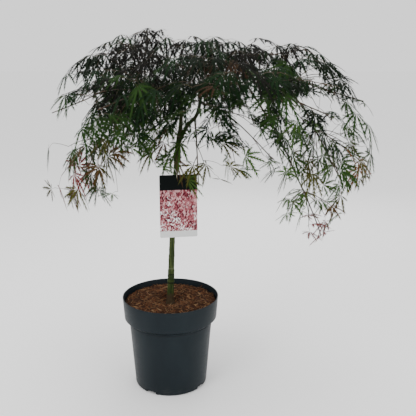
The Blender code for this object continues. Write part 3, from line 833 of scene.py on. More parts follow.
MASSES = (
    Mass("crest_left", (-0.095, 0.00, 1.085), (0.190, 0.19, 0.115), "leader", 0.96, 0.030, 9),
    Mass("crest_centre", (0.120, 0.03, 1.075), (0.150, 0.18, 0.095), "leader", 0.88, 0.020, 8),
    Mass("crest_right", (0.325, 0.00, 1.075), (0.185, 0.19, 0.105), "side_bough", 0.96, 0.035, 6),
    Mass("shoulder_left", (-0.260, 0.00, 0.935), (0.155, 0.18, 0.155), "leader", 0.80, 0.055, 8),
    Mass("skirt_left", (-0.25, -0.03, 0.732), (0.165, 0.17, 0.165), "bough_shoulder_left", 0.60, 0.04, 9),
    Mass("under_left", (-0.060, -0.02, 0.835), (0.160, 0.16, 0.160), "leader", 0.45, 0.020, 12),
    Mass("shoulder_right", (0.490, 0.00, 0.965), (0.175, 0.19, 0.155), "side_bough", 0.84, 0.060, 6),
    Mass("skirt_right", (0.505, -0.01, 0.755), (0.17, 0.17, 0.145), "bough_shoulder_right", 0.72, 0.04, 12),
    Mass("tail_right", (0.445, -0.05, 0.60), (0.125, 0.12, 0.13), "bough_shoulder_right", 0.45, 0.03, 13),
    Mass("under_right", (0.250, -0.02, 0.830), (0.175, 0.16, 0.170), "side_bough", 0.72, 0.015, 12),
    Mass("front_left", (-0.110, -0.26, 0.955), (0.195, 0.17, 0.155), "leader", 0.65, 0.050, 7),
    Mass("front_centre", (0.120, -0.26, 1.010), (0.140, 0.18, 0.115), "side_bough", 0.90, 0.020, 9),
    Mass("front_right", (0.350, -0.26, 0.955), (0.195, 0.17, 0.155), "side_bough", 0.78, 0.050, 5),
    Mass("back_left", (-0.100, 0.26, 0.950), (0.200, 0.17, 0.160), "leader", 0.70, 0.050, 7),
    Mass("back_centre", (0.130, 0.29, 0.985), (0.150, 0.16, 0.140), "leader", 0.92, 0.040, 7),
    Mass("back_right", (0.355, 0.26, 0.950), (0.200, 0.17, 0.160), "side_bough", 0.87, 0.050, 6),
    Mass("pendant", (0.090, -0.065, 0.765), (0.085, 0.09, 0.150), "side_bough", 0.45, 0.010, 7),
)

# Where the camera stands, the crown's top line in x and z, and the openings in its front in x, z and radius.
VIEW_POINT = (0.123, -2.041, 1.092)
CROWN_TOP = (
    (-0.450, 0.800), (-0.389, 0.880), (-0.358, 0.950), (-0.326, 1.008), (-0.263, 1.086),
    (-0.201, 1.124), (-0.138, 1.160), (-0.050, 1.168), (0.050, 1.142), (0.110, 1.116),
    (0.240, 1.136), (0.400, 1.124), (0.460, 1.090), (0.520, 1.056), (0.585, 1.010),
    (0.625, 0.950), (0.660, 0.830),
)  # fmt: skip
OPENINGS = (
    (-0.425, 0.715, 0.036), (-0.326, 0.805, 0.033), (-0.354, 0.731, 0.022), (-0.342, 0.685, 0.020),
    (-0.301, 0.982, 0.018), (-0.265, 0.919, 0.024), (-0.349, 0.875, 0.018), (-0.282, 0.887, 0.019),
    (-0.193, 0.656, 0.017), (-0.160, 0.675, 0.020), (-0.108, 0.731, 0.018), (-0.048, 0.695, 0.014),
    (0.086, 0.789, 0.020), (0.137, 0.745, 0.022), (0.217, 0.753, 0.019), (0.232, 0.862, 0.016),
    (0.242, 0.827, 0.023), (0.281, 0.737, 0.018), (0.296, 0.789, 0.022), (0.391, 0.659, 0.013),
    (0.445, 0.925, 0.020), (0.453, 0.593, 0.012), (0.480, 0.922, 0.028), (0.481, 0.630, 0.015),
    (0.520, 0.843, 0.025), (0.527, 0.705, 0.014), (0.440, 1.013, 0.013), (0.415, 1.016, 0.011),
    (0.465, 0.997, 0.016), (0.226, 0.875, 0.018), (0.288, 0.900, 0.017), (0.414, 0.785, 0.010),
    (0.389, 0.894, 0.018), (0.334, 0.769, 0.010), (0.263, 0.919, 0.018), (0.364, 0.913, 0.015),
    (0.201, 0.779, 0.011), (0.498, 1.068, 0.010), (0.275, 0.966, 0.010), (0.159, 0.932, 0.009),
)  # fmt: skip


@dataclass
class Limb:
    """A tapering limb: the points of its middle line and its radius at each."""

    name: str
    points: Line
    radii: list[float]

    def at(self, share: float) -> tuple[Vector, float]:
        """The point and radius at a share of the limb's length."""
        place = share * (len(self.points) - 1)
        index = min(int(place), len(self.points) - 2)
        part = place - index
        point = self.points[index].lerp(self.points[index + 1], part)
        return point, self.radii[index] * (1 - part) + self.radii[index + 1] * part

    def at_level(self, level: float) -> tuple[Vector, float]:
        """The point and radius where a rising limb passes a level."""
        index = next(place for place, point in enumerate(self.points) if point.z > level) - 1
        part = (level - self.points[index].z) / (self.points[index + 1].z - self.points[index].z)
        return self.at((index + part) / (len(self.points) - 1))


@dataclass
class Spaces:
    """Which mass a point belongs to: each mass has an ellipsoid, cut from its neighbours by planes.

    Args:
        masses: The masses.
        flatness: How much more height counts than width when two masses meet.
        middle: The crown's middle, in x and y.
        depth_ratio: How much sooner the crown's top falls away in depth than in width.
        gap_points: How many of a leaf's points may lie over the openings.
    """

    masses: tuple[Mass, ...]
    flatness: float
    middle: Span = (0.123, 0.0)
    depth_ratio: float = 1.10
    gap_points: int = 2

    def __post_init__(self) -> None:
        """Keep the tables as arrays."""
        self.top_line = np.array(CROWN_TOP)
        self.eye = np.array(VIEW_POINT)
        self.gaps = np.array(OPENINGS)
        self.stretch = np.array((1.0, 1.0, self.flatness))
        self.centres = np.array([mass.centre for mass in self.masses])
        self.halves = np.array([mass.half for mass in self.masses])
        self.reaches = np.cbrt((self.halves * self.stretch).prod(axis=1))

    def holds(self, index: int, points: object, margin: float, fill: float = 1.0) -> bool:
        """Whether a mass's own space holds all the points.

        Args:
            index: The mass's place in the table.
            points: The points to test.
            margin: The distance that they keep to the neighbours' spaces.
            fill: The share of the ellipsoid that they stay in.

        Returns:
            True where every point is inside.
        """
        points = np.asarray(points)
        scaled = (points - self.centres[index]) / self.halves[index]
        if (np.square(scaled).sum(axis=1) > fill**2).any():
            return False
        offsets = (points[:, None, :] - self.centres[None, :, :]) * self.stretch
        powers = np.square(offsets).sum(axis=2) - self.reaches**2
        slopes = 2 * np.linalg.norm((self.centres - self.centres[index]) * self.stretch**2, axis=1)
        slopes[index] = 1.0
        clear = (powers - powers[:, index : index + 1]) / slopes
        clear[:, index] = margin
        return bool((clear >= margin).all())

    def crown_holds(self, points: object, fill: float = 1.0) -> bool:
        """Whether every point is under the crown's top and in a share of some mass's ellipsoid."""
        points = np.asarray(points)
        scaled = (points[:, None, :] - self.centres) / self.halves
        inside = (np.square(scaled).sum(axis=2).min(axis=1) <= fill**2).all()
        return bool(inside and (points[:, 2] < self.top(points)).all())

    def open(self, points: object) -> bool:
        """Whether too many of the points would close the crown's openings, as its front shows them."""
        points = np.asarray(points)
        reach = self.eye[1] / (self.eye[1] - points[:, 1])
        seen = self.eye[[0, 2]] + (points[:, [0, 2]] - self.eye[[0, 2]]) * reach[:, None]
        distances = np.linalg.norm(seen[:, None, :] - self.gaps[None, :, :2], axis=2)
        return bool((distances < self.gaps[:, 2]).any(axis=1).sum() > self.gap_points)

    def top(self, points: np.ndarray) -> np.ndarray:
        """The crown's top over each point, which falls away to every side as it does to the two seen."""
        offsets = points[:, :2] - self.middle
        reach = np.hypot(offsets[:, 0], offsets[:, 1] * self.depth_ratio)
        across = self.middle[0] + np.copysign(reach, offsets[:, 0])
        return np.interp(across, self.top_line[:, 0], self.top_line[:, 1])


@dataclass
class Clearance:
    """How far points keep from every limb's surface."""

    limbs: list[Limb]

    def __post_init__(self) -> None:
        """Keep the limbs' straight runs and their radii."""
        runs = [run for limb in self.limbs for run in zip(limb.points, limb.points[1:], limb.radii)]
        starts, ends, radii = zip(*runs)
        self.starts = np.array(starts)
        self.runs = np.array(ends) - self.starts
        self.squares = np.square(self.runs).sum(axis=1)
        self.radii = np.array(radii)

    def least(self, points: object) -> float:
        """The least distance from the points to a limb's surface."""
        offsets = np.asarray(points)[:, None, :] - self.starts[None, :, :]
        shares = np.clip((offsets * self.runs).sum(axis=2) / self.squares, 0.0, 1.0)
        nearest = offsets - shares[:, :, None] * self.runs
        return float((np.linalg.norm(nearest, axis=2) - self.radii).min())


@dataclass
class Skeleton:
    """The trunk, its fork and the boughs, up to where each enters its mass."""

    trunk_line: tuple[Triple, ...] = (
        (-0.0010, 0.0, 0.255), (-0.0010, 0.0, 0.285), (0.0010, 0.0, 0.330), (0.0072, 0.0, 0.485),
        (0.0195, 0.0, 0.700), (0.0245, 0.0, 0.765), (0.0320, 0.0, 0.815),
    )  # fmt: skip
    trunk_radii: tuple[float, ...] = (0.0165, 0.0118, 0.0105, 0.0091, 0.0075, 0.0079, 0.0092)
    leader_line: tuple[Triple, ...] = ((0.0365, 0.001, 0.853), (0.0380, 0.003, 0.917), (0.0200, 0.002, 0.990))
    leader_radii: tuple[float, ...] = (0.0066, 0.0056, 0.0044)
    leader_share: float = 0.86
    side_line: tuple[Triple, ...] = (
        (0.0580, -0.004, 0.852), (0.0866, -0.006, 0.885), (0.0985, -0.006, 0.935), (0.0985, -0.001, 0.995),
    )  # fmt: skip
    side_radii: tuple[float, ...] = (0.0062, 0.0057, 0.0052, 0.0042)
    side_start: float = 0.930
    limb_pieces: int = 3
    bough_radii: Span = (0.0034, 0.0023)
    line_pieces: int = 8
    first_entry: int = 3
    space_margin: float = 0.002
    space_fill: float = 0.86
    stem_reach: float = 0.70
    stem_drop: float = 0.25
    stem_lead: float = 0.006
    wander: float = 0.007
    wander_share: float = 0.03
    wander_rate: float = 13.0
    wander_ease: float = 0.7
    wander_seed: int = 2
    gap: float = 0.0003
    limbs: dict[str, Limb] = field(default_factory=dict)
    stems: dict[str, Line] = field(default_factory=dict)

    def grow(self, spaces: Spaces) -> None:
        """Work out every limb, and the line of the stem that goes on inside each mass."""
        noise.seed_set(self.wander_seed)
        self.fork()
        for index, mass in enumerate(MASSES):
            self.bough(index, mass, spaces)

    def add_limb(self, name: str, line: tuple, radii: tuple[float, ...]) -> None:
        """Keep a smooth limb through some points."""
        points = smooth_line([Vector(point) for point in line], self.limb_pieces)
        self.limbs[name] = Limb(name, points, smooth_radii(radii, self.limb_pieces))

    def fork(self) -> None:
        """The trunk and the two main boughs that leave its top."""
        self.add_limb("trunk", self.trunk_line, self.trunk_radii)
        trunk = self.limbs["trunk"]
        tip = trunk.points[-1]
        run = (tip - trunk.points[-2]).normalized()
        leader_radii = (trunk.radii[-1] * self.leader_share, *self.leader_radii)
        self.add_limb("leader", (tip + run * self.gap, *self.leader_line), leader_radii)
        side_line = (trunk.at(self.side_start)[0], *self.side_line)
        self.add_limb("side_bough", side_line, (self.side_radii[0], *self.side_radii))

    def mass_line(self, mass: Mass) -> Line:
        """The smooth line from the parent limb up and over to the middle of a mass and on to its far side."""
        start = self.limbs[mass.parent].at(mass.along)[0]
        centre, half = Vector(mass.centre), Vector(mass.half)
        over = start.lerp(centre, 0.5) + UP * mass.rise
        run = (centre - start).normalized()
        size = 1.0 / math.sqrt(sum((run[axis] / half[axis]) ** 2 for axis in range(3)))
        tip = centre + run * size * self.stem_reach - UP * half.z * self.stem_drop
        return smooth_line([start, over, centre, tip], self.line_pieces)

    def wandered(self, points: Line) -> Line:
        """A bough's line with small bends that die away at its two ends."""
        last = len(points) - 1
        reach = min(self.wander, self.wander_share * length_of(points))
        made = []
        for place, point in enumerate(points):
            ease = math.sin(math.pi * place / last) ** self.wander_ease
            made.append(point + noise.noise_vector(point * self.wander_rate) * reach * ease)
        return made

    def bough(self, index: int, mass: Mass, spaces: Spaces) -> None:
        """Grow a mass's bough up to its space, and keep its stem's line.

        Args:
            index: The mass's place in the table.
            mass: The mass.
            spaces: The spaces of all the masses.
        """
        line = self.mass_line(mass)
        inside = [spaces.holds(index, [point], 2 * self.space_margin, self.space_fill) for point in line]
        places = range(self.first_entry, len(line))
        entry = next(place for place in places if all(inside[place : place + self.line_pieces]))
        leave = next((place for place in range(entry, len(line)) if not inside[place]), len(line))
        radii = [between(self.bough_radii, place / entry) for place in range(entry + 1)]
        line_in = line[: entry + 1]
        odd = entry % 2
        points = self.wandered(line_in[::2] + line_in[-1:] * odd)
        name = f"bough_{mass.name}"
        self.limbs[name] = Limb(name, points, radii[::2] + radii[-1:] * odd)
        run = (points[-1] - points[-2]).normalized()
        stem = [line[entry] + run * self.gap, line[entry] + run * self.stem_lead]
        self.stems[mass.name] = stem + line[entry + 2 : leave : 2]


# Foliage


@dataclass
class LeafSpot:
    """Where one leaf sits: its stalk's root, its hub, its turn, its size, its shape and how far it sags."""

    root: Vector
    hub: Vector
    turn: Vector
    size: float
    kind: int
    sag: float


@dataclass
class Spray:
    """A fine twig with its leaves, all of one tint; its girth is 0 where a main twig carries the leaves."""

    mass: int
    line: Line
    girth: Span
    leaves: list[LeafSpot] = field(default_factory=list)
    tint: Tint = Tint.DEEP_GREEN


@dataclass(frozen=True)
class LeafShape:
    """One leaf: narrow cut lobes round a hub, each a closed thin blade folded a little along its rib.

    Each lobe holds its angle in degrees, its share of the leaf's length and its teeth on each side.
    """

    seed: int
    length: float
    lobes: tuple[tuple[int, float, int], ...] = (
        (-108, 0.46, 3), (-71, 0.76, 4), (-36, 0.93, 5), (0, 1.0, 5),
        (36, 0.93, 5), (71, 0.76, 4), (108, 0.46, 3),
    )  # fmt: skip
    swing: float = 8.0
    lobe_chance: Span = (0.86, 1.08)
    rib: float = 0.047
    rib_taper: Span = (1.15, 0.75)
    notch: float = 0.95
    blade: float = 0.146
    blade_chance: Span = (0.8, 1.15)
    swell: Span = (0.95, 0.8)
    lean: float = 0.78
    tooth: float = 0.70
    first: float = 0.24
    last: float = 0.86
    thickness: float = 0.0005
    fold: float = 0.20
    bow: float = 0.09

    def build(self, home: Home) -> None:
        """Add the leaf to a collection, with its hub at the origin and its middle lobe along +Y."""
        draw = random.Random(self.seed)
        points: list[tuple] = []
        faces: list[tuple] = []
        for degrees, share, teeth in self.lobes:
            angle = math.radians(degrees + draw.uniform(-self.swing, self.swing))
            length = self.length * share * draw.uniform(*self.lobe_chance)
            self.add_lobe(points, faces, angle, length, teeth, draw)
        mesh = bpy.data.meshes.new(f"leaf_shape_{self.seed}")
        mesh.from_pydata(points, [], faces)
        reach = [math.hypot(point[0], point[1]) / self.length for point in points]
        mesh.attributes.new("reach", "FLOAT", "POINT").data.foreach_set("value", reach)
        home.objects.link(bpy.data.objects.new(mesh.name, mesh))

    def profile(self, share: float) -> float:
        """How far the teeth stand out at a share of the lobe's length, as a share of their greatest reach."""
        return math.sin(math.pi * min(1.0, share) ** self.swell[0]) ** self.swell[1]

    def add_lobe(
        self, points: list, faces: list, angle: float, length: float, teeth: int, draw: random.Random
    ) -> None:
        """Add one closed lobe to the leaf's points and faces.

        Args:
            points: The leaf's points so far.
            faces: The leaf's faces so far.
            angle: Which way the lobe points, from the middle lobe.
            length: The lobe's length.
            teeth: How many teeth it has on each side.
            draw: The source of the lobe's chances.
        """
        bow = draw.uniform(-self.bow, self.bow) * length
        turn = Matrix.Rotation(-angle, 3, "Z")

        def put(across: float, share: float, lift: float = 0.0) -> int:
            """Add a point of the lobe, bowed and turned into place."""
            spot = Vector((across + bow * share**2, share * length, lift + abs(across) * self.fold))
            points.append(tuple(turn @ spot))
            return len(points) - 1

        half = self.thickness / 2
        root, end = put(0.0, 0.0), put(0.0, 1.0)
        step = (self.last - self.first) / teeth
        shares = [self.first + step * place for place in range(teeth + 1)]
        ribs = [self.rib * length * (self.rib_taper[0] - self.rib_taper[1] * share) for share in shares]
        stations = []
        for share, rib in zip(shares, ribs):
            stations.append((put(0, share, half), put(0, share, -half), put(rib, share), put(-rib, share)))
        spurs = []
        for share, rib in zip(shares[:-1], ribs):
            reach = self.blade * length * self.profile(share + step * 0.5)
            for side in (1, -1):
                across = side * reach * draw.uniform(*self.blade_chance)
                tip = put(across, share + step * (self.tooth + self.lean))
                spurs.append((tip, put(side * rib * self.notch, share + step * self.tooth)))
        self.join_lobe(faces, root, stations, spurs, end)

    @staticmethod
    def join_lobe(faces: list, root: int, stations: list[tuple], spurs: list[tuple], end: int) -> None:
        """Join a lobe's points: its upper and its lower side share their outline.

        Args:
            faces: The leaf's faces so far.
            root: The lobe's point at the hub.
            stations: Upper rib, lower rib, right notch and left notch at each station.
            spurs: Tip and upper root of each tooth, a right one and a left one after each station.
            end: The lobe's tip.
        """
        top, low, right, left = stations[0]
        faces += [(root, right, top), (root, top, left), (root, low, right), (root, left, low)]
        for first, second, right_spur, left_spur in zip(stations, stations[1:], spurs[::2], spurs[1::2]):
            tip, after = right_spur
            faces.append((first[0], first[2], after, second[2], second[0]))
            faces.append((first[1], second[1], second[2], after, first[2]))
            faces += [(first[2], tip, after), (first[2], after, tip)]
            tip, after = left_spur
            faces.append((first[0], second[0], second[3], after, first[3]))
            faces.append((first[1], first[3], after, second[3], second[1]))
            faces += [(first[3], after, tip), (first[3], tip, after)]
        top, low, right, left = stations[-1]
        faces += [(top, right, end), (top, end, left), (low, end, right), (low, left, end)]


@dataclass(frozen=True)
class TintZone:
    """A part of the crown, in x and z, with the tints dealt out there and the share of chances up to each."""

    left: float
    right: float
    low: float
    high: float
    tints: tuple[tuple[float, Tint], ...]

    def holds(self, spot: Vector) -> bool:
        """Whether a point is in the zone."""
        return self.left <= spot.x < self.right and self.low <= spot.z < self.high


# The first zone that holds a spray's first leaf deals its tint.
TINT_ZONES = (
    TintZone(-0.50, -0.26, 0.0, 0.735, ((0.55, Tint.RED), (0.80, Tint.BRONZE), (1.0, Tint.OLIVE))),
    TintZone(-0.29, -0.17, 0.735, 0.830, ((0.35, Tint.BRONZE), (0.70, Tint.OLIVE), (1.0, Tint.FOREST_GREEN))),
    TintZone(0.33, 0.75, 0.0, 0.575, ((0.42, Tint.RED), (0.72, Tint.OLIVE), (1.0, Tint.BRONZE))),
    TintZone(0.54, 0.75, 0.575, 0.730, ((0.35, Tint.ORANGE), (0.65, Tint.OLIVE), (1.0, Tint.FRESH_GREEN))),
    TintZone(
        *(0.33, 0.75, 0.575, 0.710),
        ((0.34, Tint.OLIVE), (0.70, Tint.FRESH_GREEN), (0.82, Tint.BRONZE), (1.0, Tint.FOREST_GREEN)),
    ),
    TintZone(0.00, 0.20, 0.0, 0.790, ((0.55, Tint.OLIVE), (0.80, Tint.BRONZE), (1.0, Tint.FRESH_GREEN))),
    TintZone(
        *(0.05, 0.22, 0.990, 1.055),
        ((0.45, Tint.BROWN), (0.75, Tint.NIGHT_GREEN), (1.0, Tint.DEEP_GREEN)),
    ),
    TintZone(
        *(-9.0, 9.0, 1.070, 9.0),
        ((0.50, Tint.PLUM_BLACK), (0.85, Tint.NIGHT_GREEN), (1.0, Tint.DEEP_GREEN)),
    ),
    TintZone(
        *(-9.0, 9.0, 0.980, 9.0),
        (
            *((0.22, Tint.PLUM_BLACK), (0.55, Tint.NIGHT_GREEN)),
            *((0.88, Tint.DEEP_GREEN), (1.0, Tint.FOREST_GREEN)),
        ),
    ),
    TintZone(
        *(-9.0, 9.0, 0.880, 9.0),
        ((0.20, Tint.NIGHT_GREEN), (0.62, Tint.DEEP_GREEN), (1.0, Tint.FOREST_GREEN)),
    ),
    TintZone(
        *(-9.0, 9.0, 0.780, 9.0),
        ((0.28, Tint.DEEP_GREEN), (0.76, Tint.FOREST_GREEN), (1.0, Tint.FRESH_GREEN)),
    ),
    TintZone(-9.0, 9.0, 0.0, 9.0, ((0.38, Tint.FOREST_GREEN), (0.84, Tint.FRESH_GREEN), (1.0, Tint.OLIVE))),
)


@dataclass
class Foliage:
    """The twigs and the leaves of every mass.

    Its rule is the one that the solids grow by: a spiral of targets, a twig that arches over to each, leaves
    at the twig's tip and along it, and whatever leaves the crown's space or touches a limb is skipped. Finer
    twigs then leave those twigs by the same rule. Each shell of finer twigs holds its size as a share of the
    mass's, and how many targets it has for each main twig.
    """

    skeleton: Skeleton
    seed: int = 4100
    flatness: float = 1.35
    crown_centre: Vector = field(default_factory=lambda: Vector((0.123, 0.0, 0.80)))
    space_margin: float = 0.002
    twig_radii: Span = (0.0014, 0.0010)
    twig_sides: int = 5
    stem_tip_radius: float = 0.0017
    twig_reach: float = 0.60
    twig_rise: float = 0.16
    twig_pieces: int = 3
    twig_back: float = 0.32
    twig_first: float = 0.6
    twig_over: float = 0.55
    twig_inset: float = 0.03
    twig_retreat: float = 0.15
    twig_bare: int = 4
    fine_shells: tuple[Span, ...] = ((0.94, 3.0), (0.64, 1.2), (0.34, 0.4))
    fine_length: Span = (0.022, 0.150)
    fine_radii: Span = (0.0009, 0.0005)
    fine_pieces: int = 4
    fine_bare: int = 10
    sample_steps: int = 6
    stalk: float = 0.034
    stalk_chance: Span = (0.7, 1.25)
    stalk_radii: Span = (0.00065, 0.0005)
    stalk_rise: float = 0.12
    stalk_sides: int = 3
    stalk_lead: float = 0.6
    leaf_gap: float = 0.003
    hub_gap: Span = (0.045, 0.052)
    node_step: float = 0.044
    node_first: float = 0.034
    node_last: float = 0.85
    node_turn: float = 0.9
    node_lean: float = 0.5
    trials: int = 9
    top_inset: float = 0.026
    carry: float = 0.012
    turn_step: float = math.radians(32.0)
    shapes: int = 12
    size_chance: Span = (0.78, 1.12)
    leaf_length: float = 0.070
    leaf_fill: float = 1.03
    face_up: Span = (0.62, 0.20)
    face_out: Span = (0.60, 0.95)
    face_narrow: float = 0.30
    dip: Span = (0.30, 0.85)
    flow: float = 0.55
    face_spread: float = 0.36
    face_spread_up: float = 0.6
    sag_chance: Span = (0.22, 0.62)
    sag_power: float = 1.7
    top_sag: float = 0.30
    skirt_top: float = 0.92
    skirt_depth: float = 0.16
    hang_top: float = 1.04
    hang_depth: float = 0.34
    test_lobes: tuple[Span, ...] = (
        (-108, 0.45), (-71, 0.8), (-36, 0.95), (0, 1.0), (36, 0.95), (71, 0.8), (108, 0.45),
    )  # fmt: skip
    test_parts: tuple[float, ...] = (0.35, 0.6, 0.8, 1.0)

    def __post_init__(self) -> None:
        """Set up the masses' spaces and the limbs."""
        self.spaces = Spaces(MASSES, self.flatness)
        self.skeleton.grow(self.spaces)
        self.clearance = Clearance(list(self.skeleton.limbs.values()))
        self.sprays: list[Spray] = []
        self.twigs: list[tuple[Line, Span]] = []
        self.hubs: Line = []
        self.main_twigs: list[Line] = []

    def grow(self) -> None:
        """Grow every mass: first its main twigs and their leaves, then the finer twigs."""
        draws = [random.Random(self.seed + index) for index in range(len(MASSES))]
        carriers = [self.grow_mass(index, mass, draws[index]) for index, mass in enumerate(MASSES)]
        for reach, ratio in self.fine_shells:
            for index, mass in enumerate(MASSES):
                turn, lines = carriers[index]
                self.grow_shell(index, reach, round(ratio * mass.twigs), turn + reach, lines, draws[index])
        self.keep_main_twigs()
        LOG.info("%d sprays, %d leaves", len(self.sprays), len(self.hubs))

    def grow_mass(self, index: int, mass: Mass, draw: random.Random) -> tuple[float, list[Line]]:
        """Grow a mass's stem and its main twigs with their leaves.

        Args:
            index: The mass's place in the table.
            mass: The mass.
            draw: The source of the mass's chances.

        Returns:
            Where the mass's spiral starts, and the lines that finer twigs can leave.
        """
        stem = self.skeleton.stems[mass.name]
        self.twigs.append((stem, (self.skeleton.bough_radii[1], self.stem_tip_radius)))
        turn = draw.uniform(0.0, math.tau)
        targets = [self.spiral(mass, place, mass.twigs, turn, self.twig_reach) for place in range(mass.twigs)]
        main = [line for line in (self.twig(index, stem, target) for target in targets) if line]
        for line in main:
            self.dress(Spray(index, line, (0.0, 0.0)), draw)
        self.main_twigs += main
        bough = self.skeleton.limbs[f"bough_{mass.name}"].points
        lines = [bough[len(bough) // 2 :] + stem[:1], stem, *main]
        return turn, [smooth_line(line, 2) for line in lines]

    def keep_main_twigs(self) -> None:
        """Keep each main twig up to the outermost leaf or finer twig that it carries."""
        roots = [leaf.root for spray in self.sprays for leaf in spray.leaves if spray.girth[0] == 0.0]
        roots += [spray.line[0] for spray in self.sprays if spray.girth[0] > 0.0]
        spots = np.array(roots)
        for line in self.main_twigs:
            fine = smooth_line(line, 2)
            nearest = [np.linalg.norm(spots - np.array(point), axis=1).min() for point in fine]
            used = [place for place, distance in enumerate(nearest) if distance < self.carry]
            if used and used[-1] > 0:
                self.twigs.append((fine[: used[-1] + 1], self.twig_radii))

    def grow_shell(
        self, index: int, reach: float, count: int, turn: float, carriers: list[Line], draw: random.Random
    ) -> None:
        """Grow a mass's finer twigs to one shell of targets.

        Args:
            index: The mass's place in the table.
            reach: The shell's size, as a share of the mass's.
            count: How many targets it has.
            turn: Where their spiral starts.
            carriers: The lines that finer twigs can leave.
            draw: The source of the leaves' chances.
        """
        for place in range(count):
            target = self.spiral(MASSES[index], place, count, turn, reach)
            target.z = min(target.z, float(self.spaces.top(np.array([target]))[0]) - self.top_inset)
            line = self.fine_twig(carriers, target)
            if line:
                self.dress(Spray(index, line, self.fine_radii), draw)

    @staticmethod
    def spiral(mass: Mass, place: int, count: int, turn: float, reach: float) -> Vector:
        """One of an even spiral of points that a mass's twigs reach for.

        Args:
            mass: The mass.
            place: The point's place in the spiral.
            count: How many points the spiral has.
            turn: Where it starts.
            reach: Its size, as a share of the mass's.

        Returns:
            The point.
        """
        height = 1 - 2 * (place + 0.5) / count
        ring = math.sqrt(1 - height**2)
        angle = GOLDEN_ANGLE * place + turn
        direction = Vector((ring * math.cos(angle), ring * math.sin(angle), height))
        return Vector(mass.centre) + direction * Vector(mass.half) * reach

    def arch(self, start: Vector, target: Vector, pieces: int) -> Line:
        """A twig's line: up over the straight way and down to its target."""
        over = start.lerp(target, self.twig_over) + UP * self.twig_rise * (target - start).length
        shares = [step / pieces for step in range(pieces + 1)]
        return [start.lerp(over, share).lerp(over.lerp(target, share), share) for share in shares]

    def sampled(self, points: Line) -> np.ndarray:
        """Close points along a line."""
        shares = [step / self.sample_steps for step in range(self.sample_steps + 1)]
        pairs = zip(points, points[1:])
        return np.array([first.lerp(second, share) for first, second in pairs for share in shares])

    def twig(self, index: int, stem: Line, target: Vector) -> Line:
        """A main twig that leaves the stem short of the point nearest its target and arches over to it.

        Args:
            index: The mass's place in the table.
            stem: The mass's stem.
            target: Where the twig ends, unless that is outside the mass's space.

        Returns:
            The twig's line, with no points where it doesn't fit.
        """
        while not self.spaces.holds(index, [target], self.twig_inset):
            target = target.lerp(Vector(MASSES[index].centre), self.twig_retreat)
        distances = [(point - target).length for point in stem]
        nearest = distances.index(min(distances))
        place = max(self.twig_first, nearest - self.twig_back * min(distances) / self.skeleton.stem_lead)
        spot = int(place)
        start = stem[spot].lerp(stem[spot + 1], place - spot) if spot < len(stem) - 1 else stem[-2]
        if (target - start).length < self.twig_inset:
            return []
        points = self.arch(start, target, self.twig_pieces)
        samples = self.sampled(points)
        clear = self.clearance.least(samples[self.twig_bare :]) > self.twig_radii[0] + self.space_margin
        return points if clear and self.spaces.holds(index, samples, self.space_margin) else []

    def fine_twig(self, carriers: list[Line], target: Vector) -> Line:
        """A finer twig that leaves the nearest main twig and arches over to its target.

        Args:
            carriers: The lines that it can leave.
            target: Where it ends.

        Returns:
            The twig's line, with no points where it doesn't fit.
        """
        spots = [pair for line in carriers for pair in zip(line, line[1:])]
        start = min(spots, key=lambda pair: (pair[1] - target).length)[0]
        if not self.fine_length[0] < (target - start).length < self.fine_length[1]:
            return []
        points = self.arch(start, target, self.fine_pieces)
        samples = self.sampled(points)
        clear = self.clearance.least(samples[self.fine_bare :]) > self.fine_radii[0] + self.space_margin
        return points if clear and self.spaces.crown_holds(samples) else []

    def dress(self, spray: Spray, draw: random.Random) -> None:
        """Put leaves on a twig: one at its tip, and pairs at nodes along it.

        Args:
            spray: The twig, with no leaves yet.
            draw: The source of the leaves' chances.
        """
        line = spray.line
        sites = [(line[-1], (line[-1] - line[-2]).normalized())]
        length = length_of(line)
        back = self.node_first
        while back < length * self.node_last:
            place = (1.0 - back / length) * (len(line) - 1)
            spot = min(int(place), len(line) - 2)
            root = line[spot].lerp(line[spot + 1], place - spot)
            run = (line[spot + 1] - line[spot]).normalized()
            turn = Matrix.Rotation(draw.uniform(-self.node_turn, self.node_turn), 3, run)
            side = turn @ run.cross(UP).normalized()
            ahead = run * self.node_lean
            sites += [(root, (side + ahead).normalized()), (root, (ahead - side).normalized())]
            back += self.node_step
        spray.leaves = [leaf for leaf in (self.leaf(root, heading, draw) for root, heading in sites) if leaf]
        if spray.leaves:
            spray.line = self.trimmed(line, spray.leaves[0].root)
            chance = draw.random()
            zone = next(zone for zone in TINT_ZONES if zone.holds(spray.leaves[0].hub))
            spray.tint = next(tint for limit, tint in zone.tints if chance <= limit)
            self.sprays.append(spray)

    @staticmethod
    def trimmed(line: Line, root: Vector) -> Line:
        """A twig's line cut back to the root of its outermost leaf."""
        if (root - line[-1]).length < SAME_PLACE:
            return line
        middles = [(first.lerp(second, 0.5) - root).length for first, second in zip(line, line[1:])]
        return [*line[: middles.index(min(middles)) + 1], root]

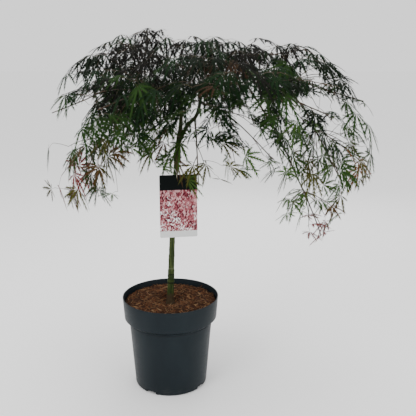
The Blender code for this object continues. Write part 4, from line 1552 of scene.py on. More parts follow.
    def leaf(self, root: Vector, heading: Vector, draw: random.Random) -> LeafSpot | None:
        """Try a leaf at a root, turned one way and another.

        Args:
            root: Where the leaf's stalk leaves its twig.
            heading: Which way the stalk sets off.
            draw: The source of the leaf's chances.

        Returns:
            The leaf's spot, or None where it doesn't fit.
        """
        size = draw.uniform(*self.size_chance)
        kind = draw.randrange(self.shapes)
        sag = draw.uniform(*self.sag_chance) + self.top_sag * (1.0 - self.hang(root))
        stalk = self.stalk * draw.uniform(*self.stalk_chance)
        gap = between(self.hub_gap, clamp((self.skirt_top - root.z) / self.skirt_depth))
        jitter = Vector([draw.gauss(0, spread) for spread in (1, 1, self.face_spread_up)]) * self.face_spread
        for trial in range(self.trials):
            roll = self.turn_step * ((trial + 1) // 2) * (1 if trial % 2 else -1)
            along, across, face = self.leaf_frame(root, heading, roll, jitter)
            hub = root + (heading * self.stalk_lead + along * (1 - self.stalk_lead)) * stalk
            if any((hub - other).length < gap for other in self.hubs):
                continue
            samples = self.samples(hub, along, across, size, sag)
            if self.spaces.open(samples) or not self.spaces.crown_holds(samples, self.leaf_fill):
                continue
            if self.clearance.least(samples) > self.leaf_gap:
                self.hubs.append(hub)
                turn = Matrix((across, along, face)).transposed().to_euler()
                return LeafSpot(root, hub, Vector(turn), size, kind, sag)
        return None

    def hang(self, root: Vector) -> float:
        """How far a leaf hangs: 0 on the crown's top, 1 in its skirts."""
        return clamp((self.hang_top - root.z) / self.hang_depth)

    def leaf_frame(self, root: Vector, heading: Vector, roll: float, jitter: Vector) -> tuple[Vector, ...]:
        """The leaf's own directions.

        Args:
            root: Where the leaf's stalk leaves its twig.
            heading: Which way the stalk sets off.
            roll: How far the leaf turns in its own plane.
            jitter: How far its face turns away from the rule.

        Returns:
            The directions along its middle lobe, across it, and out of its upper face.
        """
        hang = self.hang(root)
        up, out, dip = (between(pair, hang) for pair in (self.face_up, self.face_out, self.dip))
        away = root - self.crown_centre
        turned = Vector((away.x * self.face_narrow, away.y, away.z)).normalized()
        face = (UP * up + turned * out + jitter).normalized()
        along = (heading + Vector((away.x, away.y, 0.0)).normalized() * self.flow - UP * dip).normalized()
        along = Matrix.Rotation(roll, 3, face) @ (along - face * along.dot(face)).normalized()
        return along, along.cross(face).normalized(), face

    def samples(self, hub: Vector, along: Vector, across: Vector, size: float, sag: float) -> Line:
        """Points on the leaf's lobes, for testing where it may go.

        Args:
            hub: The leaf's hub.
            along: The direction of its middle lobe.
            across: The direction across it.
            size: Its size.
            sag: How far it sags.

        Returns:
            The points.
        """
        made = [hub]
        for degrees, share in self.test_lobes:
            angle = math.radians(degrees)
            run = along * math.cos(angle) + across * math.sin(angle)
            for reach in (share * part for part in self.test_parts):
                made.append(hub + (run * reach - UP * sag * reach**self.sag_power) * self.leaf_length * size)
        return made

    def build(self) -> None:
        """Make the leaves, piece by piece for each tint, and the twigs and stalks."""
        home = bpy.data.collections.new("leaf_shapes")
        for number in range(self.shapes):
            LeafShape(number + 1, self.leaf_length).build(home)
        tree = self.leaf_tree()
        for tint in Tint:
            sprays = [spray for spray in self.sprays if spray.tint is tint]
            if sprays:
                self.build_leaves(tint, sprays, tree, home)
        empty(home)
        self.build_twigs()

    def build_leaves(self, tint: Tint, sprays: list[Spray], tree: Tree, home: Home) -> None:
        """Make the piece that holds every leaf of one tint.

        Args:
            tint: The tint.
            sprays: The sprays of that tint.
            tree: The tree that hangs the leaves.
            home: The collection of leaf shapes.
        """
        leaves = [leaf for spray in sprays for leaf in spray.leaves]
        labels = ("turn", "size", "sag", "kind")
        layers = {label: [getattr(leaf, label) for leaf in leaves] for label in labels}
        hubs = point_mesh(f"hubs_{tint.label}", [leaf.hub for leaf in leaves], [], layers)
        values = {"Shapes": home, "Leaf Length": self.leaf_length, "Finish": LeafFinish(tint).build()}
        piece = grow_from(f"leaves_{tint.label}", hubs, tree, values)
        finish_piece(piece, sorted({MASSES[spray.mass].name for spray in sprays}))

    def leaf_tree(self) -> Tree:
        """The tree that sets a leaf on each point, turned, sized and left to sag by its attributes."""
        maker = GeometryTree("hang_leaves", {"Shapes": "Collection", "Leaf Length": "Float"})
        kind, turn = maker.attribute("kind", "INT"), maker.attribute("turn", "FLOAT_VECTOR")
        sag, size = maker.attribute("sag"), maker.attribute("size")
        turn = maker.node("FunctionNodeEulerToRotation", {0: turn}).outputs[0]
        feeds = {"Instance Index": kind, "Rotation": turn, "Scale": size}
        placed = maker.strewn(maker.given["Geometry"], "Shapes", feeds)
        real = maker.node("GeometryNodeRealizeInstances", {"Geometry": placed}).outputs[0]
        bend = maker.math("POWER", maker.attribute("reach"), self.sag_power)
        drop = maker.times(bend, sag, size, maker.given["Leaf Length"], -1.0)
        offset = maker.node("ShaderNodeCombineXYZ", {"Z": drop}).outputs[0]
        moved = maker.node("GeometryNodeSetPosition", {"Geometry": real, "Offset": offset})
        return maker.close(moved.outputs[0])

    def build_twigs(self) -> None:
        """Make the twigs and the leaf stalks as tubes."""
        tree = tube_tree()
        twigs = self.twigs + [(spray.line, spray.girth) for spray in self.sprays if spray.girth[0] > 0]
        piece = tube_piece("twigs", twigs, tree, self.twig_sides, TWIG_BARK.build())
        finish_piece(piece, [mass.name for mass in MASSES])
        stalks = []
        for leaf in (leaf for spray in self.sprays for leaf in spray.leaves):
            middle = leaf.root.lerp(leaf.hub, 0.5) + UP * self.stalk_rise * (leaf.hub - leaf.root).length
            stalks.append(([leaf.root, middle, leaf.hub], self.stalk_radii))
        piece = tube_piece("leaf_stalks", stalks, tree, self.stalk_sides, STALK_SKIN.build())
        finish_piece(piece, [])


def tube_tree() -> Tree:
    """The tree that gives each line of points a round tube of its own girth."""
    maker = GeometryTree("draw_tubes", {"Sides": "Int"})
    curve = maker.node("GeometryNodeMeshToCurve", {"Mesh": maker.given["Geometry"]}).outputs[0]
    feeds = {"Resolution": maker.given["Sides"], "Radius": 1.0}
    ring = maker.node("GeometryNodeCurvePrimitiveCircle", feeds).outputs[0]
    feeds = {"Curve": curve, "Profile Curve": ring, "Scale": maker.attribute("girth"), "Fill Caps": True}
    return maker.close(maker.node("GeometryNodeCurveToMesh", feeds).outputs[0])


def tube_piece(name: str, lines: list[tuple[Line, Span]], tree: Tree, sides: int, finish: Material) -> Item:
    """One piece of many tapering tubes.

    Args:
        name: The piece's name.
        lines: The points of each tube with its radius at its start and at its end.
        tree: The tree that draws the tubes.
        sides: How many sides each tube has.
        finish: The tubes' material.

    Returns:
        The piece.
    """
    points, edges, girths = [], [], []
    for line, ends in lines:
        spans = len(line) - 1
        edges += [(len(points) + place, len(points) + place + 1) for place in range(spans)]
        points += line
        girths += smooth_radii(ends, spans)
    source = point_mesh(f"{name}_lines", points, edges, {"girth": girths})
    piece = grow_from(name, source, tree, {"Sides": sides, "Finish": finish})
    outward(piece.data).shade_smooth()
    return piece


# Stem and boughs


@dataclass
class Stem:
    """The trunk, its fork and its boughs, with the bark's relief."""

    skeleton: Skeleton
    voxel: float = 0.0012
    soften: float = 0.5
    soften_steps: int = 6
    sides: int = 20
    bough_sides: int = 10
    pieces: int = 6
    ridge: float = 0.00035
    ridge_rate: Triple = (420, 420, 26)
    lump: float = 0.0007
    lump_rate: float = 75
    node_levels: tuple[float, ...] = (0.336, 0.377, 0.425, 0.512, 0.575, 0.640, 0.690, 0.742, 0.768)
    node_slope: float = 0.12
    node_swell: float = 0.0009
    node_spread: float = 0.0035
    knob_level: float = 0.356
    knob_spread: float = 0.016
    knob: float = 0.0014
    knob_rate: float = 115
    knob_range: Span = (0.7, 1.3)
    foot_level: float = 0.2640
    foot_reach: float = 0.045
    foot_sink: float = 0.004
    foot_lump: float = 0.0016
    foot_rate: float = 130
    bough_node_step: float = 0.036
    bough_node_edge: int = 12
    bough_swell: Span = (0.92, 0.22)

    def build(self) -> None:
        """Make the stem with its fork as one grown-together piece, and the boughs as another."""
        limbs = ["trunk", "leader", "side_bough"]
        stem = self.tubes("stem_bark", [self.fine(self.skeleton.limbs[name]) for name in limbs], self.sides)
        self.knit(stem)
        self.carve(stem.data)
        stem.data.materials.append(BarkFinish().build())
        finish_piece(stem, limbs)
        names = [f"bough_{mass.name}" for mass in MASSES]
        lines = [self.knotted(self.skeleton.limbs[name]) for name in names]
        boughs = self.tubes("bough_bark", lines, self.bough_sides)
        boughs.data.shade_smooth()
        boughs.data.materials.append(BOUGH_BARK.build())
        finish_piece(boughs, names)

    def fine(self, limb: Limb) -> tuple[Line, list[float]]:
        """A limb's finer line and its radii."""
        return smooth_line(limb.points, self.pieces), smooth_radii(limb.radii, self.pieces)

    def tubes(self, name: str, lines: list[tuple[Line, list[float]]], sides: int) -> Item:
        """One mesh of round tubes, each closed at both ends.

        Args:
            name: The mesh's name.
            lines: Each tube's middle line and its radii.
            sides: How many sides each tube has.

        Returns:
            The mesh's object.
        """
        sketch = bmesh.new()
        for points, radii in lines:
            self.tube(sketch, points, radii, sides)
        return place_object(name, drawn_mesh(name, sketch))

    @staticmethod
    def tube(sketch: Sketch, points: Line, radii: list[float], sides: int) -> None:
        """Add a closed tube along some points.

        Args:
            sketch: The mesh that takes it.
            points: The middle line.
            radii: The radius at each point.
            sides: How many sides it has.
        """
        side = Vector((1.0, 0.0, 0.0))
        rings = []
        for place, (point, radius) in enumerate(zip(points, radii)):
            before, after = points[max(0, place - 1)], points[min(len(points) - 1, place + 1)]
            run = (after - before).normalized()
            side = (side - run * side.dot(run)).normalized()
            other = run.cross(side)
            spokes = [side * math.cos(angle) + other * math.sin(angle) for angle in turns(sides)]
            rings.append([sketch.verts.new(point + spoke * radius) for spoke in spokes])
        skin(sketch, rings)

    def knit(self, item: Item) -> None:
        """Grow the tubes together into one even mesh."""
        add_modifier(item, "Knit", "REMESH", mode="VOXEL", voxel_size=self.voxel)
        apply_modifiers(item)
        add_modifier(item, "Soften", "SMOOTH", factor=self.soften, iterations=self.soften_steps)
        apply_modifiers(item)

    def carve(self, mesh: Mesh) -> None:
        """Raise the bark's relief: lengthwise ridges, lumps, the nodes' rings and the knobbly foot."""
        mesh.update()
        moved = []
        for vert in mesh.vertices:
            place = vert.co + vert.normal * self.lift(vert.co)
            moved += [place.x, place.y, max(place.z, self.foot_level - self.foot_sink)]
        mesh.vertices.foreach_set("co", moved)
        mesh.update()
        mesh.shade_smooth()

    def lift(self, spot: Vector) -> float:
        """How far the bark stands out at a place on the stem."""
        lift = self.ridge * noise.noise(spot * Vector(self.ridge_rate))
        lift += self.lump * noise.noise(spot * self.lump_rate)
        for level in self.node_levels:
            offset = spot.z - level - spot.y * self.node_slope
            lift += self.node_swell * math.exp(-((offset / self.node_spread) ** 2))
        knob = self.knob * math.exp(-(((spot.z - self.knob_level) / self.knob_spread) ** 2))
        lift += knob * (self.knob_range[0] + self.knob_range[1] * noise.noise(spot * self.knob_rate))
        foot = max(0.0, 1.0 - (spot.z - self.foot_level) / self.foot_reach)
        return lift + foot * self.foot_lump * noise.noise(spot * self.foot_rate)

    def knotted(self, limb: Limb) -> tuple[Line, list[float]]:
        """A bough's finer line and its radii, a little thicker at its nodes."""
        points, radii = self.fine(limb)
        phase = random.Random(len(points)).uniform(0.0, math.tau)
        run = 0.0
        made = []
        for place, radius in enumerate(radii):
            if place:
                run += (points[place] - points[place - 1]).length
            swell = max(0.0, math.cos(run * math.tau / self.bough_node_step + phase)) ** self.bough_node_edge
            made.append(radius * (self.bough_swell[0] + self.bough_swell[1] * swell))
        return points, made


# Pot and mulch


@dataclass
class NurseryPot:
    """The round nursery pot: a tapered body, a collar that stands out over it and a notched foot.

    The crease under the collar holds its points as offsets from the body's radius and the shoulder's level.
    """

    height: float = field(default_factory=lambda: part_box("pot")[1].z)
    rim_radius: float = field(default_factory=lambda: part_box("pot")[1].y)
    collar_radius: float = 0.151
    collar_foot: float = 0.224
    collar_round: float = 0.0015
    body_radius: float = 0.135
    shoulder: float = 0.213
    crease: tuple[Span, ...] = (
        (0.0004, 0.0003),
        (-0.00112, -0.0004),
        (-0.0014, -0.0022),
        (-0.00056, -0.0036),
        (-0.0002, -0.0060),
    )
    base_radius: float = 0.1172
    wall: float = 0.0028
    floor: float = 0.004
    edge: float = 0.0012
    round_foot: float = 0.008
    steps: int = 128
    sharp: float = math.radians(38)
    notch_count: int = 4
    notch_width: float = 0.036
    notch_height: float = 0.010
    notch_depth: float = 0.030
    notch_round: float = 0.002
    notch_turn: float = math.radians(-31.0)

    def profile(self) -> list[Span]:
        """The wall's outline: up the inside, over the rim, down the outside and in under the floor."""
        wall = self.wall
        points = [
            (0.0, self.floor),
            (self.base_radius - self.round_foot, self.floor),
            (self.base_radius - wall, self.floor + self.round_foot),
            (self.body_radius - wall, self.shoulder + wall),
            (self.collar_radius - wall, self.collar_foot + wall),
        ]
        rim = (self.rim_radius - wall / 2, self.height - self.edge)
        points += arc(rim, (wall / 2, self.edge), (180, 0), 6)
        collar = (self.collar_radius - self.collar_round, self.collar_foot + self.collar_round)
        points += arc(collar, (self.collar_round, -self.collar_round), (0, 90), 4)
        points += [(self.body_radius + inset, self.shoulder + drop) for inset, drop in self.crease]
        for share in (0.75, 0.5, 0.25):
            radius = between((self.base_radius, self.body_radius), share)
            points.append((radius, between((self.round_foot, self.shoulder), share)))
        foot = (self.base_radius - self.round_foot, self.round_foot)
        points += arc(foot, (self.round_foot, -self.round_foot), (0, 90), 6)
        return [*points, (0.0, 0.0)]

    def build(self) -> None:
        """Make the pot, with its drain notches cut."""
        profile = self.profile()
        edges = [(place, place + 1) for place in range(len(profile) - 1)]
        mesh = point_mesh("nursery_pot", [(radius, 0.0, height) for radius, height in profile], edges, {})
        pot = place_object("nursery_pot", mesh)
        merged = {"use_merge_vertices": True, "merge_threshold": MERGE}
        add_modifier(pot, "Turn", "SCREW", steps=self.steps, render_steps=self.steps, **merged)
        apply_modifiers(pot)
        outward(pot.data)
        cutters = [self.notch(pot, place) for place in range(self.notch_count)]
        apply_modifiers(pot)
        for cutter in cutters:
            bpy.data.objects.remove(cutter)
        pot.data.shade_smooth()
        pot.data.set_sharp_from_angle(angle=self.sharp)
        pot.data.materials.clear()
        pot.data.materials.append(PotPlastic().build())
        finish_piece(pot, ["pot"])

    def notch(self, pot: Item, place: int) -> Item:
        """Set up the cut of one drain notch.

        Args:
            pot: The pot.
            place: The notch's place round the foot.

        Returns:
            The object that cuts it.
        """
        angle = self.notch_turn + math.tau * place / self.notch_count - math.pi / 2
        sketch = bmesh.new()
        bmesh.ops.create_cube(sketch, size=1.0)
        size = (self.notch_depth, self.notch_width, 2 * self.notch_height)
        bmesh.ops.scale(sketch, vec=size, verts=sketch.verts)
        ends = [(edge, *(vert.co.x for vert in edge.verts)) for edge in sketch.edges]
        level = [edge for edge, first, second in ends if abs(first - second) > self.notch_height]
        bmesh.ops.bevel(sketch, geom=level, offset=self.notch_round, segments=3, affect="EDGES", profile=0.5)
        cutter = place_object(f"notch_cutter_{place}", drawn_mesh("notch_cutter", sketch))
        spot = Vector((math.cos(angle), math.sin(angle), 0.0)) * self.base_radius
        cutter.data.transform(Matrix.Translation(spot) @ Matrix.Rotation(angle, 4, "Z"))
        add_modifier(pot, cutter.name, "BOOLEAN", operation="DIFFERENCE", object=cutter, solver="EXACT")
        return cutter


@dataclass
class MulchBed:
    """The potting soil and the shredded bark that covers it, from its wettest tone to its palest."""

    level: float = 0.277
    seat: float = 0.2620
    seat_radius: float = 0.024
    hollow_start: float = 0.7
    hollow_reach: float = 0.050
    hollow_ease: float = 1.3
    edge_start: float = 0.85
    edge_drop: float = 0.004
    # The pit beside the trunk: a real dip in the bed, and painted shade where its bare dark soil is left
    # without shreds.
    pit: float = 0.011
    pit_spot: Span = (-0.026, -0.018)
    pit_spread: float = 0.011
    pit_bare: float = 0.5
    radius: float = 0.1492
    foot_share: float = 0.93
    foot_level: float = 0.232
    rings: int = 30
    spokes: int = 96
    crumb: float = 0.0022
    crumb_rate: float = 28
    fine_rate: float = 3.1
    fine_share: float = 0.7
    calm_radius: float = 0.03
    strewn_from: float = 0.0135
    strewn_inset: float = 0.008
    strewn_rings: int = 14
    strewn_lift: float = 0.0012
    densities: tuple[tuple[BarkTone, float], ...] = (
        (BarkTone.WET, 5200.0),
        (BarkTone.RED, 9000.0),
        (BarkTone.BROWN, 8000.0),
        (BarkTone.PALE, 1500.0),
    )
    strewn_seed: int = 11
    shred_kinds: int = 6
    shred_seed: int = 900
    shred_steps: int = 5
    shred_length: Span = (0.010, 0.021)
    shred_width: Span = (0.0009, 0.0022)
    shred_depth: Span = (0.35, 0.6)
    shred_bend: Span = (-0.35, 0.35)
    shred_lift: Span = (-0.15, 0.25)
    shred_twist: Span = (-0.9, 0.9)
    shred_taper: float = 0.75
    shred_rough: float = 0.2
    shred_section: tuple[Span, ...] = ((-0.5, -0.4), (0.5, -0.5), (0.45, 0.5), (-0.4, 0.5))
    shred_tip: float = 0.45
    shred_size: Span = (0.7, 1.5)
    size_seed: int = 5

    def in_pit(self, reach: float, angle: float) -> float:
        """How deep in the small pit beside the trunk a place is: 1 in its middle, near 0 outside it. The pit
        is a real dip, and its dark is partly painted shade: the shreds are left out there so that the dark
        soil shows.
        """
        across = math.cos(angle) * reach - self.pit_spot[0]
        deep = math.sin(angle) * reach - self.pit_spot[1]
        return math.exp(-(across**2 + deep**2) / self.pit_spread**2)

    def height(self, reach: float, angle: float) -> float:
        """The bed's level at a distance from the pot's axis: a hollow at the trunk and a fall to the wall."""
        out = (reach - self.seat_radius * self.hollow_start) / self.hollow_reach
        hollow = clamp(1.0 - out) ** self.hollow_ease
        fall = max(0.0, (reach / self.radius - self.edge_start) / (1.0 - self.edge_start))
        rate = reach * self.crumb_rate
        spot = Vector((math.cos(angle) * rate, math.sin(angle) * rate, 0.0))
        rough = noise.noise(spot) + noise.noise(spot * self.fine_rate) * self.fine_share
        sunk = hollow * (self.level - self.seat) + fall * self.edge_drop
        sunk += self.pit * self.in_pit(reach, angle)
        return self.level - sunk + rough * self.crumb * min(1.0, reach / self.calm_radius)

    def build(self) -> None:
        """Make the bed and strew the shreds."""
        bed = self.bed()
        tree = self.shred_tree()
        home = bpy.data.collections.new("shred_shapes")
        for number in range(self.shred_kinds):
            self.shred(number, home)
        source = self.strewn_area()
        for number, (tone, density) in enumerate(self.densities):
            values = {"Shreds": home, "Density": density, "Seed": self.strewn_seed + number}
            values["Finish"] = tone.build()
            piece = grow_from(f"bark_shreds_{tone.label}", source.copy(), tree, values)
            finish_piece(piece, [])
        empty(home)
        finish_piece(bed, ["bark_mulch"])

    def ring(self, sketch: Sketch, reach: float, lift: float = 0.0) -> list:
        """A ring of points on the bed, or a little above it, at a distance from the pot's axis."""
        made = []
        for angle in turns(self.spokes):
            level = self.height(reach, angle) + lift
            made.append(sketch.verts.new((reach * math.cos(angle), reach * math.sin(angle), level)))
        return made

    def bed(self) -> Item:
        """The bed's closed body: a rough top over a plain plug inside the pot."""
        sketch = bmesh.new()
        centre = sketch.verts.new((0.0, 0.0, self.seat))
        rings = [self.ring(sketch, self.radius * place / self.rings) for place in range(1, self.rings + 1)]
        share, level = self.foot_share, self.foot_level
        foot = [sketch.verts.new((vert.co.x * share, vert.co.y * share, level)) for vert in rings[-1]]
        rings.append(foot)
        for pair in zip(rings[0], turned(rings[0])):
            sketch.faces.new((centre, *pair))
        for first, second in zip(rings, rings[1:]):
            for quad in zip(first, second, turned(second), turned(first)):
                sketch.faces.new(quad)
        sketch.faces.new(foot[::-1])
        mesh = outward(drawn_mesh("soil_bed", sketch, POTTING_SOIL.build()))
        mesh.shade_smooth()
        return place_object("soil_bed", mesh)

    def strewn_area(self) -> Mesh:
        """The ring of ground that shreds lie on, a little above the bed and not in its pit, which is left
        bare so that its dark soil shows as painted shade.
        """
        sketch = bmesh.new()
        count = self.strewn_rings
        width = self.radius - self.strewn_inset - self.strewn_from
        reaches = [self.strewn_from + width * place / count for place in range(count + 1)]
        rings = [self.ring(sketch, reach, self.strewn_lift) for reach in reaches]
        inset, turn = width / count / 2, math.pi / self.spokes
        for reach, first, second in zip(reaches, rings, rings[1:]):
            for angle, *quad in zip(turns(self.spokes), first, second, turned(second), turned(first)):
                # Shreds are left out of the pit, so that its bare dark soil shows there as painted shade.
                if self.in_pit(reach + inset, angle + turn) < self.pit_bare:
                    sketch.faces.new(quad)
        return drawn_mesh("strewn_area", sketch)

    def shred(self, number: int, home: Home) -> None:
        """One shape of shred: a bent, split strip of bark, lying along X.

        Args:
            number: The shape's number, which seeds it.
            home: The collection that takes it.
        """
        draw = random.Random(self.shred_seed + number)
        length = draw.uniform(*self.shred_length)
        width = draw.uniform(*self.shred_width)
        depth = width * draw.uniform(*self.shred_depth)
        bend = draw.uniform(*self.shred_bend) * length
        lift = draw.uniform(*self.shred_lift) * length
        twist = draw.uniform(*self.shred_twist)
        sketch = bmesh.new()
        rings = []
        for step in range(self.shred_steps + 1):
            share = step / self.shred_steps - 0.5
            taper = 1.0 - self.shred_taper * abs(2 * share) ** 3
            level = lift * share**2 + draw.uniform(-1, 1) * depth * self.shred_rough
            spot = Vector((share * length, bend * share**2, level))
            turn = Matrix.Rotation(twist * share, 3, "X")
            wide, deep = width * taper, depth * taper
            section = [Vector((0.0, across * wide, up * deep)) for across, up in self.shred_section]
            rings.append([sketch.verts.new(spot + turn @ corner) for corner in section])
        skin(sketch, rings)
        bmesh.ops.recalc_face_normals(sketch, faces=sketch.faces)
        mesh = drawn_mesh(f"shred_{number}", sketch)
        home.objects.link(bpy.data.objects.new(mesh.name, mesh))

    def shred_tree(self) -> Tree:
        """The tree that strews shreds over a surface, turned every way and tipped a little."""
        maker = GeometryTree("strew_shreds", {"Shreds": "Collection", "Density": "Float", "Seed": "Int"})
        density, seed = maker.given["Density"], maker.given["Seed"]
        feeds = {"Mesh": maker.given["Geometry"], "Density": density, "Seed": seed}
        spots = maker.node("GeometryNodeDistributePointsOnFaces", feeds).outputs[0]
        tip = self.shred_tip
        feeds = {"Min": (-tip, -tip, 0.0), "Max": (tip, tip, math.tau), "Seed": seed}
        turn = maker.node("FunctionNodeRandomValue", feeds, data_type="FLOAT_VECTOR").outputs[0]
        turn = maker.node("FunctionNodeEulerToRotation", {0: turn}).outputs[0]
        feeds = {2: self.shred_size[0], 3: self.shred_size[1], "Seed": self.size_seed}
        size = maker.node("FunctionNodeRandomValue", feeds, data_type="FLOAT").outputs[1]
        return maker.close(maker.strewn(spots, "Shreds", {"Rotation": turn, "Scale": size}))


# Plant tag


@dataclass
class PlantTag:
    """The card tag and the elastic loop that holds it to the trunk.

    The loop's path holds its points after the turn round the trunk, as offsets from three places: "b" between
    the trunk and the hole, "t" on the card's top edge over the hole, and "h" in the hole.
    """

    skeleton: Skeleton
    width: float = 0.120
    height: float = 0.204
    thickness: float = 0.0008
    corner: float = 0.004
    turn: float = math.radians(8.0)
    tilt: float = math.radians(-0.35)
    centre: Vector = field(default_factory=lambda: Vector((0.0290, -0.0190, 0.5960)))
    hole_radius: float = 0.0032
    hole_drop: float = 0.0090
    hole_across: float = -0.004
    tie_radius: float = 0.0009
    tie_level: float = 0.716
    tie_turn: Span = (-35.0, 215.0)
    tie_steps: int = 10
    tie_path: tuple[tuple[str, float, float, float], ...] = (
        ("b", -0.0045, -0.0105, -0.0030),
        ("t", -0.0015, 0.0030, 0.0075),
        ("t", -0.0005, -0.0025, 0.0035),
        ("h", 0.0, -0.0050, 0.0050),
        ("h", 0.0, -0.0030, 0.0010),
        ("h", 0.0, 0.0, 0.0005),
        ("h", 0.0010, 0.0040, 0.0035),
        ("h", 0.0030, 0.0070, 0.0120),
        ("b", 0.0060, -0.0085, -0.0060),
    )
    gap: float = 0.0003
    arc_steps: int = 8
    hole_steps: int = 24
    front: float = -0.9

    def place(self) -> Matrix:
        """Where the tag hangs: turned about the upright and tilted a little."""
        turn = Matrix.Rotation(self.turn, 4, "Z") @ Matrix.Rotation(self.tilt, 4, "Y")
        return Matrix.Translation(self.centre) @ turn

    def hole(self) -> Vector:
        """The middle of the tag's hole."""
        return self.place() @ Vector((self.hole_across, 0.0, self.height / 2 - self.hole_drop))

    def build(self) -> None:
        """Make the card with its print, and the loop."""
        finish_piece(self.card(), ["plant_tag"])
        finish_piece(self.tie(), ["tag_tie"])

    def outline(self) -> list[Span]:
        """The card's outline with its round corners, anticlockwise."""
        points = []
        across, up = self.width / 2 - self.corner, self.height / 2 - self.corner
        for side, rise, start in ((1, 1, 0), (-1, 1, 90), (-1, -1, 180), (1, -1, 270)):
            spot = (side * across, rise * up)
            points += arc(spot, (self.corner, self.corner), (start, start + 90), self.arc_steps)
        return points

    def card(self) -> Item:
        """The card: a flat plate with a punched hole, printed on its front."""
        sketch = bmesh.new()
        across, up, radius = self.hole_across, self.height / 2 - self.hole_drop, self.hole_radius
        spokes = [(math.cos(angle) * radius, math.sin(angle) * radius) for angle in turns(self.hole_steps)]
        hole = [(across + side, up + rise) for side, rise in spokes]
        lines = (self.outline(), hole)
        rings = [[sketch.verts.new((across, 0.0, up)) for across, up in line] for line in lines]
        edges = [sketch.edges.new(pair) for ring in rings for pair in zip(ring, turned(ring))]
        bmesh.ops.triangle_fill(sketch, edges=edges, use_beauty=True)
        bmesh.ops.solidify(sketch, geom=list(sketch.faces), thickness=self.thickness)
        middle = sum((vert.co.y for vert in sketch.verts), 0.0) / len(sketch.verts)
        bmesh.ops.translate(sketch, verts=sketch.verts, vec=(0.0, -middle, 0.0))
        bmesh.ops.recalc_face_normals(sketch, faces=sketch.faces)
        layer = sketch.loops.layers.uv.new("UVMap")
        for face in sketch.faces:
            face.material_index = 1 if face.normal.y < self.front else 0
            for loop in face.loops:
                loop[layer].uv = (loop.vert.co.x + self.width / 2, loop.vert.co.z + self.height / 2)
        finishes = (TAG_CARD.build(), PrintFinish(self.width, self.height).build())
        mesh = drawn_mesh("plant_tag_card", sketch, *finishes)
        mesh.transform(self.place())
        return place_object("plant_tag_card", mesh)

    def tie_line(self) -> Line:
        """The loop's line: round the trunk, through the tag's hole from the front and over its top."""
        stem, stem_radius = self.skeleton.limbs["trunk"].at_level(self.tie_level)
        radius = stem_radius + self.tie_radius + 2 * self.gap
        round_stem = arc((stem.x, 0.0), (radius, radius), self.tie_turn, self.tie_steps)
        points = [Vector((*spot, self.tie_level)) for spot in round_stem]
        hole = self.hole()
        places = {
            "b": ((stem.x + hole.x) / 2, 0.0, self.tie_level),
            "t": (hole.x, hole.y, self.centre.z + self.height / 2),
            "h": tuple(hole),
        }
        for name, *offset in self.tie_path:
            points.append(Vector([start + step for start, step in zip(places[name], offset)]))
        return points

    def tie(self) -> Item:
        """The loop's cord, drawn along its line."""
        points = self.tie_line()
        curve = bpy.data.curves.new("tag_loop", "CURVE")
        curve.dimensions = "3D"
        curve.bevel_depth = self.tie_radius
        curve.bevel_resolution = 3
        spline = curve.splines.new("NURBS")
        spline.points.add(len(points) - 1)
        for spot, point in zip(spline.points, points):
            spot.co = (*point, 1.0)
        spline.use_cyclic_u = True
        spline.order_u = 3
        spline.resolution_u = 4
        drawn = place_object("tag_loop_line", curve)
        mesh = evaluated_mesh(drawn)
        bpy.data.objects.remove(drawn)
        mesh.name = "tag_loop"
        outward(mesh).shade_smooth()
        mesh.materials.clear()
        mesh.materials.append(TIE_ELASTIC.build())
        return place_object("tag_loop", mesh)


# Studio


@dataclass(frozen=True)
class Lamp:
    """A square soft lamp: its place, its power and its size."""

    name: str
    spot: Triple
    power: float
    size: float

    def build(self, target: Vector) -> None:
        """Set it up to face a target."""
        data = bpy.data.lights.new(self.name, "AREA")
        data.energy = self.power
        data.size = self.size
        lamp = place_object(self.name, data)
        lamp.location = self.spot
        lamp.rotation_euler = (target - Vector(self.spot)).to_track_quat("-Z", "Y").to_euler()


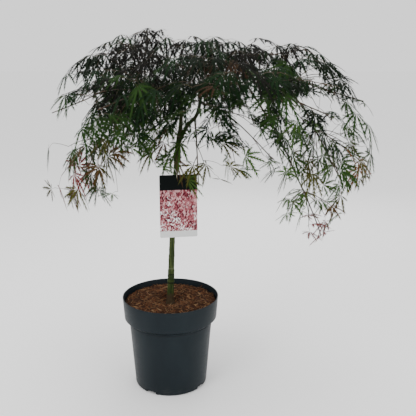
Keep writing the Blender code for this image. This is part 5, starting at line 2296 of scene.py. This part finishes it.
@dataclass
class Studio:
    """The camera, the floor and soft lights round the plant."""

    eye: Vector = field(default_factory=lambda: Vector(VIEW_POINT))
    target: Vector = field(default_factory=lambda: Vector((0.12, 0.0, 0.6)))
    pitch: float = math.radians(8.5)
    lens: float = 56.25
    sensor: float = 36.0
    shift: float = -0.149
    floor_size: float = 30.0
    floor_tone: Colour = (0.97, 0.97, 0.97)
    sky_tone: Colour = (1.0, 1.0, 1.0)
    sky_strength: float = 1.3
    lamps: tuple[Lamp, ...] = (
        Lamp("key", (-1.6, -2.2, 2.6), 44.0, 1.6),
        Lamp("fill", (2.2, -1.8, 1.3), 14.0, 1.8),
        Lamp("top", (0.1, 0.2, 2.9), 24.0, 2.0),
        Lamp("back", (0.6, 2.4, 1.7), 16.0, 1.6),
    )

    def build(self) -> None:
        """Set up the camera, the floor, the sky and the lamps."""
        data = bpy.data.cameras.new("camera")
        data.lens = self.lens
        data.sensor_width = self.sensor
        data.shift_y = self.shift
        camera = place_object("camera", data)
        camera.location = self.eye
        camera.rotation_euler = (math.pi / 2 - self.pitch, 0.0, 0.0)
        bpy.context.scene.camera = camera
        self.floor()
        self.sky()
        for lamp in self.lamps:
            lamp.build(self.target)

    def floor(self) -> None:
        """A plain pale floor."""
        sketch = bmesh.new()
        bmesh.ops.create_grid(sketch, x_segments=1, y_segments=1, size=self.floor_size)
        plain = {"Base Color": self.floor_tone, "Roughness": 1.0, "Specular IOR Level": 0.0}
        floor = place_object("floor", drawn_mesh("floor", sketch, Shader("pale_floor", plain).made))

    def sky(self) -> None:
        """An even pale surround."""
        world = bpy.data.worlds.new("studio")
        world.use_nodes = True
        background = world.node_tree.nodes["Background"]
        background.inputs["Color"].default_value = (*self.sky_tone, 1.0)
        background.inputs["Strength"].default_value = self.sky_strength
        bpy.context.scene.world = world


def main() -> None:
    """Build every sub-assembly in order."""
    logging.basicConfig(level=logging.INFO, format="%(relativeCreated)6d ms %(name)s: %(message)s")
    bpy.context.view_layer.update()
    Studio().build()
    NurseryPot().build()
    MulchBed().build()
    skeleton = Skeleton()
    foliage = Foliage(skeleton)
    Stem(skeleton).build()
    foliage.grow()
    foliage.build()
    PlantTag(skeleton).build()
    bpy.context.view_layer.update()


if __name__ == "__main__":
    main()
